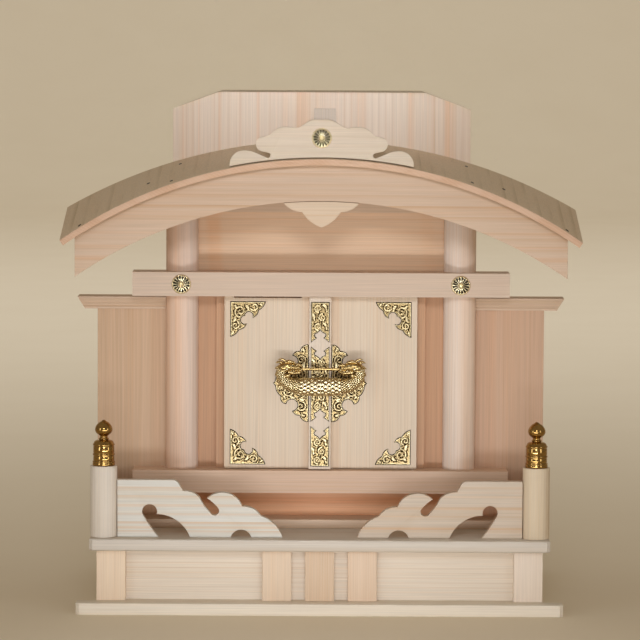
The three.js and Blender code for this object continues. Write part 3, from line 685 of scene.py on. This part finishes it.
def add_columns():
    """A round column has a flat back: its section is a circle cut along the wall's face."""
    low, high = box_mm("column_left")
    middle = WALL - 6.5
    cut_angle = math.asin((WALL - middle) / COLUMN_RADIUS)
    angle = np.linspace(math.pi - cut_angle, 2 * math.pi + cut_angle, 73)
    for name, side, seed, tone, strength in (("left", -1, 71, (228, 205, 186), 1.0),
                                             ("right", 1, 74, (232, 215, 198), 0.75)):
        points = stacked(side * COLUMN_X + COLUMN_RADIUS * np.cos(angle),
                         middle + COLUMN_RADIUS * np.sin(angle))
        # The band 158 mm out from the middle is painted shade over each column's outer side, weaker on the
        # right.
        material = cypress("column_" + name, tone, "Z", seed, 3.4, 0.7, [(0, side * 158, 30, strength)])
        piece("column_turned_" + name, carried(points, "Z", low[2], high[2], 0.3), material, "cabinet",
              "column_" + name)


def add_posts():
    """Round corner posts with eased ends."""
    for name, seed, tone in (("left", 76, (219, 206, 188)), ("right", 78, (214, 194, 164))):
        low, high = box_mm("post_" + name)
        x, y, _ = (low + high) / 2
        part = carried(circle(x, y, POST_RADIUS, 72), "Z", low[2], high[2], 0.5)
        material = cypress("post_" + name, tone, "Z", seed, 2.6, 0.6)
        piece("post_turned_" + name, part, material, "cabinet", "post_" + name)


def turned(profile, x, y, z, count=96):
    """A profile (radius, height) turned about an upright axis."""
    profile = np.asarray(profile, dtype=float)
    angle = full_turn(count)
    r, up = profile[:, :1], profile[:, 1:]
    rings = stacked(x + r * np.cos(angle), y + r * np.sin(angle), z + up)
    return shell(rings)


def finial_profile():
    """Flange, drum with three beads and the grooves beside them, shoulder, bead ring, waisted neck, and a
    bulb whose radius swells as sin(pi h^0.82)^0.62 and closes in a drawn-up point."""
    drum = [(0.1, 0), (11.1, 0), (11.4, 0.3), (11.4, 2.6), (11.2, 2.9), (11.2, 3.3), (11.4, 3.6),
            (11.4, 4.4), (11.1, 4.8), (10.6, 5.0), (10.5, 5.4), (10.7, 5.9), (10.7, 9.0), (10.4, 9.5),
            (10.5, 9.9)]
    beads = []
    for middle, half, reach in ((11.3, 1.1, 0.75), (21.2, 1.0, 0.6)):
        t = np.linspace(-1, 1, 9)
        beads.append([(10.5 + reach * math.sqrt(1 - v * v), middle + half * v) for v in t])
    upper = [(10.4, 12.7), (10.7, 13.3), (10.7, 18.9), (10.4, 19.4), (10.4, 19.9)]
    shoulder = [(10.3, 22.4), (10.1, 23.2), (9.3, 24.6), (8.0, 25.5), (6.2, 26.1), (4.6, 26.3)]
    ring = [(4.2 + 1.0 * math.cos(a), 27.2 + 0.9 * math.sin(a)) for a in np.linspace(-1.4, 1.4, 9)]
    neck = [(4.0, 28.4), (3.8, 29.2), (4.1, 30.0), (4.9, 30.7)]
    t = np.linspace(0.13, 1, 26)
    swell = np.sin(np.pi * t ** 0.82) ** 0.62
    radius = np.maximum(9.35 * swell * (1 - 0.12 * t), 0.1)
    tip = np.clip((t - 0.86) / 0.14, 0, 1)
    radius = radius * (1 - 0.25 * tip * (1 - tip) * 4)
    bulb = list(zip(radius, 29.6 + 16.7 * t))
    return drum + beads[0] + upper + beads[1] + shoulder + ring + neck + bulb


def add_finials():
    """A turned finial on each post."""
    for name in ("left", "right"):
        low, high = box_mm("finial_" + name)
        x, y, _ = (low + high) / 2
        piece("finial_turned_" + name, turned(finial_profile(), x, y, low[2]), BRASS_TURNED, "cabinet",
              "finial_" + name, crease=50)


# Bosses

def boss(x, y, z, count=320, rings=56):
    """A chrysanthemum of sixteen hollow petals on a dome. The border between two petals is a ridge at
    every eighth part of a half turn, |sin 8a| = 0, and each petal closes in a round lip near the rim; the
    hollow between sinks by 0.85 mm. A button of 2.4 mm with a ring of grains sits in the middle."""
    radius, rise = 10.0, 3.2
    a = full_turn(count)
    r = np.concatenate([[0.02], np.linspace(0.03, 1, rings)])[::-1, None]
    across = np.abs((16 * a / (2 * math.pi)) % 1 - 0.5) * 2
    scallop = 1 - 0.07 * (1 - np.sqrt(np.clip(1 - across ** 4, 0, 1)))
    reach = radius * r * np.where(r > 0.3, 1 - (1 - scallop) * (r - 0.3) / 0.7, 1)
    dome = (rise - 1.1) * (1 - r ** 2.2)
    width = np.clip((r - 0.3) / 0.08, 0.0, 1)
    hollow_side = np.clip((0.68 - across) / 0.2, 0, 1)
    lip = np.clip((0.88 - r - 0.1 * across ** 2) / 0.06, 0, 1)
    hollow = hollow_side * lip * width
    roundness = np.sqrt(np.clip(1 - ((r - 0.9) / 0.1).clip(0, 1) ** 2, 0, 1))
    button = 1.0 * np.sqrt(np.clip(1 - (r / 0.24) ** 2, 0, 1))
    grains = 0.25 * (0.5 + 0.5 * np.cos(10 * a)) * np.exp(-((r - 0.15) / 0.045) ** 2)
    lift = 0.15 + 0.95 * dome + 0.85 * roundness * (1 - hollow) * (r > 0.2) + button + grains
    points = stacked(x + reach * np.cos(a), y - lift, z + reach * np.sin(a))
    back = stacked(x + reach[0] * np.cos(a), y, z + reach[0] * np.sin(a))
    part = shell(np.concatenate([back[None], points]))
    ring_line = np.exp(-((r - 0.25) / 0.025) ** 2)
    tops = np.clip(1 - 1.6 * hollow - ring_line, 0, 1)
    relief = np.concatenate([np.zeros(count), (tops + 0 * a).reshape(-1)])
    return part, relief


def add_bosses():
    """The three bosses, each on the middle of its node."""
    for node in ("crest_boss", "beam_boss_left", "beam_boss_right"):
        low, high = box_mm(node)
        part, relief = boss((low[0] + high[0]) / 2, high[1], (low[2] + high[2]) / 2)
        piece(node + "_petals", part, BRASS_CAST, "cabinet", node, relief=relief, crease=60)


# Chased plates

def inside(points, ring):
    """Which points lie inside a closed ring: a ray to the right crosses it an odd number of times."""
    x, z = points[:, 0][:, None], points[:, 1][:, None]
    x0, z0 = ring[:, 0], ring[:, 1]
    x1, z1 = np.roll(x0, -1), np.roll(z0, -1)
    spans = (z0 > z) != (z1 > z)
    meets = x0 + (z - z0) * (x1 - x0) / np.where(z1 == z0, 1e-9, z1 - z0)
    return (spans & (x < meets)).sum(1) % 2 == 1


def edge_distance(points, ring):
    """Distance from each point to the nearest edge of a ring."""
    best = np.full(len(points), 1e9)
    for start, end in zip(ring, np.roll(ring, -1, axis=0)):
        run = end - start
        t = np.clip(((points - start) @ run) / (run @ run + 1e-12), 0, 1)
        best = np.minimum(best, np.hypot(*(points - start - t[:, None] * run).T))
    return best


def scroll(cx, cz, reach, turns, start, hand):
    """A vine that winds into its centre: radius reach (1 - 0.86 t), angle start + hand 2 pi turns t."""
    t = np.linspace(0, 1, 70)
    radius = reach * (1 - 0.86 * t)
    angle = math.radians(start) + hand * 2 * math.pi * turns * t
    return stacked(cx + radius * np.cos(angle), cz + radius * np.sin(angle), 0.75 - 0.3 * t)


def leaf(x, z, angle, length, width):
    """A leaf as a short row of discs, widest a third of the way along."""
    t = np.linspace(0, 1, 12)
    a = math.radians(angle) + 0.9 * t
    return stacked(x + length * t * np.cos(a), z + length * t * np.sin(a),
                   width * np.sin(np.pi * np.clip(t * 0.9 + 0.1, 0, 1)) ** 0.8 + 0.05)


def relief_at(points, vines):
    """Height of the chasing, 0 to 1: vines and leaves stand where a point is nearer to a disc's centre
    than its radius. Beside them runs a dark cut whose half width swings between 0.2 and 0.95 mm along
    the plate, so that it reads as comma strokes. Finer strokes follow the curve
    sin(1.9 x + 1.7 sin(1.25 z + 0.8)) + sin(1.75 z + 1.6 sin 1.1 x) = 0.25 and come and go along it."""
    field = np.full(len(points), -1e9)
    for vine in vines:
        gap = vine[:, 2][None] - np.hypot(points[:, :1] - vine[:, 0], points[:, 1:] - vine[:, 1])
        field = np.maximum(field, gap.max(1))
    x, z = points[:, 0], points[:, 1]
    swing = 0.5 + 0.5 * np.sin(1.5 * x + 0.7 * z) * np.cos(1.3 * z - 0.9 * x)
    half = 0.2 + 0.75 * swing
    cut = np.clip(1.5 - 1.5 * np.abs(field + 0.1 + half) / half, 0, 1) * np.clip(0.35 + 1.3 * swing, 0, 1)
    curl = np.sin(1.9 * x + 1.7 * np.sin(1.25 * z + 0.8)) + np.sin(1.75 * z + 1.6 * np.sin(1.1 * x))
    stroke = np.clip(1.3 - np.abs(curl - 0.25) / 0.34, 0, 1) * np.clip(0.2 + np.sin(0.9 * x - 1.3 * z), 0, 1)
    ground = 0.55 - 0.5 * stroke
    raised = 0.6 + 0.4 * np.clip((field - 0.1) / 0.5, 0, 1) - 0.4 * stroke
    return np.where(field > -0.1, raised, ground) * (1 - cut)


def chased_plate(points, vines, front, thickness=1.0, pitch=0.34):
    """A plate whose face is a height field over its outline, inside a raised rim: the ground lies 0.45 mm
    under the rim and the vines come up to it."""
    deep = 0.45
    base = carried(points, "Y", front + deep, front + thickness, 0.0, 2)
    rim_profile = [(1.5, deep), (1.35, 0.1), (1.2, 0.0), (0.85, 0.0), (0.6, 0.25), (0.0, 0.4),
                   (0.0, thickness)]
    rings = [stacked(ring[:, 0], front + down, ring[:, 1])
             for ring, down in ((inset(points, amount), down) for amount, down in rim_profile)]
    rim = shell(rings, closed=False)
    rim_relief = np.repeat([0.35, 0.75, 1.0, 0.85, 0.0, 0.0, 0.0], len(points))

    low, high = points.min(0), points.max(0)
    xs = np.arange(low[0], high[0] + pitch, pitch)
    zs = np.arange(low[1], high[1] + pitch, pitch)
    grid = np.stack(np.meshgrid(xs, zs), -1).reshape(-1, 2)
    keep = inside(grid, points) & (edge_distance(grid, points) > 0.9)
    heights = relief_at(grid, vines)
    face = stacked(grid[:, 0], front + deep * (1 - 0.92 * heights) - 0.01, grid[:, 1])
    cells = grid_faces(len(zs), len(xs), False)
    cells = cells[keep[cells].all(1)]
    used, renumbered = np.unique(cells, return_inverse=True)
    field = (face[used], [tuple(cell) for cell in renumbered.reshape(-1, 4)])
    part = joined([base, rim, field])
    relief = np.concatenate([np.zeros(len(base[0])), rim_relief, heights[used]])
    return part, relief


def corner_plate_outline():
    """Two straight sides from the corner, and a wavy edge with two points and a notch between them."""
    return outline([(0, 0), (36.6, 0, 0.22), (29.2, 9.2, 0.33), (22.8, 16.9, -1.3), (15, 15, -1.3),
                    (16.9, 22.8, 0.33), (9.2, 29.2, 0.22), (0, 36.6)])


def side_plate_outline():
    """Half of a leafy round: a straight side along the strip, with three points and two round bays."""
    lower = [(0, -39.8, 0.42), (8.9, -33.4, 0.36), (16.9, -28.5, -2.1), (23, -21.6, 0.48),
             (28.9, -13.4, 0.22), (34.3, -3.4, -0.15)]
    upper = [(34.3, 3.4, 0.22), (28.9, 13.4, 0.48), (23, 21.6, -2.1), (16.9, 28.5, 0.36),
             (8.9, 33.4, 0.42), (0, 39.8)]
    return outline(lower + [(36.6, 0, -0.15)] + upper)


def strip_plate_outline(low, high, notch_low, notch_high):
    """A straight plate whose ends are square or cut to a keel-shaped notch."""
    notch = [(9.5, 0), (3.3, 4.9, -0.5), (5.3, 8.8, 0.2), (0, 12.9, 0.2), (-5.3, 8.8, -0.5), (-3.3, 4.9),
             (-9.5, 0)]
    top, bottom = [(9.5, high), (-9.5, high)], [(-9.5, low), (9.5, low)]
    if notch_high:
        top = [(x, high - down, *rest) for x, down, *rest in notch]
    if notch_low:
        bottom = [(-x, low + up, *rest) for x, up, *rest in notch]
    return outline(top + bottom)


def set_plate(node, plate, body, signs, shift):
    """Puts a chased plate in its place, once the signs of its axes are changed."""
    part, relief = plate
    points, faces = turned_over(part, signs)
    piece(node + "_chased", (points + shift, faces), BRASS_PLATE, body, node, relief=relief)


def add_corner_plates():
    """Four corner plates from one chased plate, turned over for each corner of the two leaves."""
    points = corner_plate_outline()
    vines = [scroll(10.2, 10.2, 6.6, 1.6, 45, 1), scroll(24.5, 5.4, 4.2, 1.3, 150, -1),
             scroll(5.4, 24.5, 4.2, 1.3, -60, 1), leaf(15.5, 4.6, 10, 6, 1.3), leaf(4.6, 15.5, 60, 6, 1.3),
             leaf(30.6, 2.6, 0, 3.8, 1.0), leaf(2.6, 30.6, 70, 3.8, 1.0), leaf(4.4, 4.4, 20, 4, 1.2),
             leaf(19.5, 10.6, 50, 4, 1.1), leaf(10.6, 19.5, 0, 4, 1.1)]
    plate = chased_plate(points, vines, 0.0)
    for name, side in SIDES:
        for level, up in (("lower", 1), ("upper", -1)):
            node = "corner_plate_%s_%s" % (name, level)
            low, high = box_mm(node)
            x = low[0] if side < 0 else high[0]
            z = low[2] if up > 0 else high[2]
            set_plate(node, plate, name + "_door", (-side, 1, up), [x, low[1], z])


def add_side_plates():
    """The two half-round plates beside the strip, one the mirror of the other."""
    vines = []
    for side in (-1, 1):
        vines += [scroll(8.4, side * 8.6, 6.2, 1.6, side * 100, side),
                  scroll(21.5, side * 8.4, 5.4, 1.5, side * 200, -side),
                  scroll(8.0, side * 24, 5.6, 1.5, side * -80, -side),
                  scroll(29.4, side * 3.6, 2.6, 1.2, side * 30, side), leaf(4, side * 16, side * 40, 6, 1.4),
                  leaf(14.5, side * 15, side * 10, 6, 1.3), leaf(4.2, side * 33.5, side * 20, 4, 1.1),
                  leaf(14, side * 27, side * -60, 5, 1.1), leaf(24, side * 15.6, side * -30, 4, 1.1)]
    vines.append(leaf(15.5, 0, 0, 7, 1.5))
    plate = chased_plate(side_plate_outline(), vines, 0.0)
    for name, side in SIDES:
        node = "side_plate_" + name
        low, high = box_mm(node)
        x = low[0] if side > 0 else high[0]
        set_plate(node, plate, name + "_door", (side, 1, 1), [x, low[1], (low[2] + high[2]) / 2])


def add_strip_plates():
    """Three plates down the strip, with a notch at each end that faces another plate."""
    for name, notch_low, notch_high in (("upper", True, False), ("middle", True, True),
                                        ("lower", False, True)):
        node = "strip_plate_" + name
        low, high = box_mm(node)
        points = strip_plate_outline(low[2], high[2], notch_low, notch_high)
        start = low[2] + (13 if notch_low else 3)
        end = high[2] - (13 if notch_high else 3)
        vines = []
        rows = max(2, round((end - start) / 9.0))
        for k, z in enumerate(np.linspace(start + 3.5, end - 3.5, rows)):
            side = 1 if k % 2 else -1
            vines += [scroll(side * 2.1, z, 3.9, 1.5, 90 * side, side), leaf(-side * 6.0, z, 90, 5.5, 1.2),
                      leaf(-side * 6.4, z - 3.4, 60, 3.4, 0.9)]
        plate = chased_plate(points, vines, low[1])
        set_plate(node, plate, "left_door", (1, 1, 1), [(low[0] + high[0]) / 2, 0, 0])


# Padlock

def tube(stations, count, sides, relief_height=None):
    """Rings of radius r across and depth t in y, square to a path in x and z. A relief function gives an
    extra height from the length along the path and the angle round it."""
    path = smooth_path(stations, count)
    slope = np.gradient(path[:, :2], axis=0)
    slope /= np.linalg.norm(slope, axis=1, keepdims=True) + 1e-12
    length = np.concatenate([[0], np.cumsum(np.linalg.norm(np.diff(path[:, :2], axis=0), axis=1))])
    angle = full_turn(sides)
    extra = relief_height(length[:, None], angle[None]) if relief_height else 0
    out = (path[:, 2:3] + extra) * np.cos(angle)
    deep = (path[:, 3:4] + extra) * np.sin(angle)
    rings = stacked(path[:, :1] - slope[:, 1:] * out, -deep, path[:, 1:2] + slope[:, :1] * out)
    return shell(rings), (extra + 0 * out)


def scale_relief(length, angle):
    """Overlapping round scales in staggered rows: each scale is a dome, and the highest of the nearest
    ones counts. Rows are 3.6 mm apart in the middle of the body and 2.1 mm towards the heads."""
    middle = length[-1] / 2
    away = np.abs(length - middle)
    centre = away < 21.6
    around = np.where(centre, 11, 17)
    count = np.where(centre, away / 3.6, (away - 21.6) / 2.1)
    row = np.floor(count)
    best = np.zeros(np.broadcast(length, angle).shape)
    for shift in (-1, 0, 1):
        this_row = row + shift
        turn = angle / (2 * np.pi) * around - 0.5 * (this_row % 2)
        across = (turn - np.round(turn)) * 2.35
        along = (count - this_row - 0.5) / 0.8
        best = np.maximum(best, np.sqrt(np.clip(1 - across ** 2 - along ** 2, 0, 1)))
    fade = np.clip((56 - away) / 4, 0, 1)
    return np.where(centre, 1.15, 0.8) * best * fade


def bead(x, y, z, radius, stretch=(1, 1, 1), count=24):
    """A ball stretched along the axes: radius sin a in plan and radius cos a in height."""
    a = np.linspace(0.02, math.pi - 0.02, count // 2 + 1)[:, None]
    turn = full_turn(count)
    rings = stacked(x + radius * stretch[0] * np.sin(a) * np.cos(turn),
                    y + radius * stretch[1] * np.sin(a) * np.sin(turn),
                    z - radius * stretch[2] * np.cos(a))
    return shell(rings)


def beast_head():
    """The left head in its own place beside the body's middle: muzzle towards the rod, brows, eyes, open
    jaw, swept horns and a mane of tapered locks. Each part is a closed skin with its own relief value."""
    parts = []

    def add(stations, lift=0.0, count=24, sides=20, shine=0.62):
        """One tapered tube, moved forward by its lift."""
        skin, _ = tube(stations, count, sides)
        points = skin[0] - [0, lift, 0]
        parts.append(((points, skin[1]), np.full(len(points), shine)))

    skull = [(-18.6, 18.6, 1.8, 2.0), (-20.5, 18.9, 3.0, 3.2), (-24, 19.6, 3.9, 4.4),
             (-28.5, 20.6, 4.9, 5.6), (-33.5, 20.8, 5.8, 6.4), (-38.5, 19.6, 5.4, 6.2), (-42, 17, 3.4, 4.2)]
    jaw = [(-18.4, 16.4, 1.2, 1.8), (-22.5, 14.9, 1.7, 2.8), (-28, 14.6, 2.2, 3.6), (-33, 15.6, 2.4, 3.8)]
    nose = [(-19.0, 21.4, 1.1, 1.3), (-22.0, 23.0, 1.5, 1.9), (-25.2, 22.6, 1.2, 1.6)]
    brow = [(-25.6, 24.2, 0.8, 1.2), (-29, 25.9, 1.5, 2.2), (-33, 26.4, 1.7, 2.4), (-36.8, 25, 1.0, 1.5)]
    horn = [(-33, 24, 1.5, 1.6), (-37.5, 27.5, 1.3, 1.4), (-41, 28.6, 0.9, 1.0), (-43.4, 28, 0.3, 0.3)]
    add(skull, 0.4, 40, 28, 0.5)
    for stations, lift in ((jaw, 0.6), (nose, 3.0), (brow, 3.6), (horn, 1.0)):
        add(stations, lift)
    locks = [(-36, 22, -42, 25.5, -46.2, 24.8), (-38, 18.5, -43, 20.5, -47, 18.6),
             (-39, 14, -44, 14.4, -46.6, 11.2), (-38.5, 9, -43, 8.2, -45.2, 4.6),
             (-36.5, 5, -41, 2.6, -43.6, 0.2), (-34, 17.5, -40, 16.6, -44.8, 14.8),
             (-31.5, 12.2, -37.5, 11.0, -42.6, 9.2)]
    for k, (x0, z0, x1, z1, x2, z2) in enumerate(locks):
        lift = 3.6 if k > 4 else 0.8 + 0.5 * (k % 2)
        add([(x0, z0, 2.0, 2.2), (x1, z1, 1.6, 1.8), (x2, z2, 0.25, 0.3)], lift, 18, 12)
    for x, y, z, r, shine in ((-28.6, -5.2, 22.4, 1.5, 1.0), (-28.3, -6.3, 22.3, 0.7, 0.0),
                              (-20.4, -3.6, 19.9, 0.8, 0.0), (-34.5, -5.8, 19.0, 1.9, 0.9)):
        skin = bead(x, y, z, r)
        parts.append((skin, np.full(len(skin[0]), shine)))
    for k in range(6):
        skin = bead(-20.0 - 2.0 * k, -2.6 - 0.3 * k, 17.3 - 0.15 * k, 0.65, (0.7, 0.8, 1.5), 12)
        parts.append((skin, np.full(len(skin[0]), 1.0)))
    return parts


def add_padlock():
    """A crescent body with scales, a thin rod from head to head, and the two heads."""
    half = [(-39.6, 18.6, 4.4, 4.6), (-40.2, 13.4, 5.0, 5.0), (-37.6, 7.8, 5.4, 5.3), (-33, 3.8, 6.0, 5.8),
            (-26.5, 1.4, 6.9, 6.3), (-18, 0.4, 7.9, 6.9), (-9, 0, 8.5, 7.2)]
    stations = half + [(0, 0, 8.7, 7.25)] + [(-x, z, r, t) for x, z, r, t in half[::-1]]
    body, extra = tube(stations, 440, 120, scale_relief)
    parts = [(body, np.clip(extra.reshape(-1) / 0.8, 0, 1) ** 1.6)]
    rod, _ = tube([(-21, 18.3, 1.55, 1.55), (0, 18.3, 1.5, 1.5), (21, 18.3, 1.55, 1.55)], 24, 24)
    parts.append((rod, np.full(len(rod[0]), 0.5)))
    for part, shine in beast_head():
        parts += [(part, shine), (turned_over(part, (-1, 1, 1)), shine)]
    points, faces = joined([part for part, _ in parts])
    back = depths("padlock")[1]
    reach, height = 8.4, 220.9
    piece("padlock_cast", (points + [0, back - reach, height], faces), BRASS_CAST, "left_door", "padlock",
          relief=np.concatenate([shine for _, shine in parts]), crease=60)


# Nails

def add_nails():
    """Small sunk nail heads in the roof: each is a low disc that follows the slope."""
    spots = [(-150.5, 16), (-144.5, 92), (-242.0, 8), (-175.0, 46), (148.0, 92), (184.0, 44), (151.0, 16),
             (246.0, 8)]
    turn = full_turn(16)
    parts = []
    for x, back in spots:
        y = ROOF_FRONT + back
        ring = stacked(x + 1.7 * np.cos(turn), y + 3.2 * np.sin(turn))
        z = float(roof_height(x, y))
        lift = roof_height(ring[:, 0], ring[:, 1]) - z
        rings = [stacked(ring[:, 0], ring[:, 1], z + lift + up) for up in (-0.6, 0.06)]
        parts.append(shell(rings))
    graph = Graph("nail_iron")
    graph.finish(srgb(48, 30, 20), 0.6, graph.noise(graph.place, 2000, 2), 0.3, 0.0002)
    piece("roof_nails", joined(parts), graph.material, "cabinet")


# Light and floor

def add_light(name, place, target, width, height, power, spread=180):
    """A lamp panel that faces its target and isn't seen by the camera."""
    data = bpy.data.lights.new(name, "AREA")
    data.shape = "RECTANGLE"
    data.size, data.size_y = width, height
    data.energy = power
    data.color = (0.95, 1, 1.1)
    data.spread = math.radians(spread)
    lamp = linked(name, data)
    lamp.location = place
    aim = np.array(target) - np.array(place)
    yaw = math.atan2(aim[1], aim[0]) - math.pi / 2
    tilt = math.atan2(aim[2], math.hypot(aim[0], aim[1]))
    lamp.rotation_euler = (math.pi / 2 + tilt, 0, yaw)
    lamp.visible_camera = False


def add_studio():
    """A paper sweep: a flat floor that turns up far behind in a quarter circle of 3 m."""
    turn = np.linspace(0, math.pi / 2, 49)
    bend = stacked(7 + 3 * np.sin(turn), 3 - 3 * np.cos(turn))
    profile = np.concatenate([[(-9, 0)], bend, [(10, 7)]])
    rows = np.stack([np.insert(profile, 0, x, axis=1) for x in (-14, 14)])
    mesh = bpy.data.meshes.new("floor")
    mesh.from_pydata(rows.reshape(-1, 3).tolist(), [], grid_faces(2, len(profile), False).tolist())
    mesh.shade_smooth()
    floor = linked("floor", mesh)
    graph = Graph("floor_paper")
    cloud = graph.noise(graph.place, 6, 2)
    colour = graph.mix(cloud, srgb(237, 223, 195), srgb(241, 228, 201))
    graph.set(graph.shader.inputs["Base Color"], colour)
    graph.shader.inputs["Roughness"].default_value = 0.85
    mesh.materials.append(graph.material)

    world = bpy.data.worlds.new("soft_room")
    world.use_nodes = True
    background = world.node_tree.nodes["Background"]
    background.inputs["Color"].default_value = srgb(214, 199, 179)
    background.inputs["Strength"].default_value = 0.44
    bpy.context.scene.world = world

    aim = (0, -0.1, 0.24)
    add_light("softbox_left", (-1.25, -1.15, 0.3), aim, 0.24, 1.1, 3.4)
    add_light("softbox_right", (1.25, -1.15, 0.3), aim, 0.24, 1.1, 2.7)
    add_light("upper_front", (0, -1.9, 1.0), (0, -0.03, 0.49), 0.5, 0.3, 0.53, 40)
    add_light("tower_light", (0, -1.9, 0.64), (0, -0.03, 0.545), 0.3, 0.02, 0.055, 8)
    add_light("front_fill", (0, -2.8, 0.22), aim, 1.6, 0.35, 2.5)
    add_light("low_front", (0, -0.62, 0.05), (0, -0.03, 0.33), 0.6, 0.05, 0.84, 130)
    add_light("backdrop_wash", (0, 1.6, 5.0), (0, 10, 2.0), 6, 0.5, 230)
    bpy.context.scene.view_settings.view_transform = "Standard"


add_camera()
add_boards()
add_base_and_deck()
add_doors()
add_cloud_rails()
add_roof()
add_barge_board()
add_crest_board()
add_crest_brace()
add_columns()
add_posts()
add_finials()
add_bosses()
add_corner_plates()
add_side_plates()
add_strip_plates()
add_padlock()
add_nails()
finish_kept_boards()
add_studio()
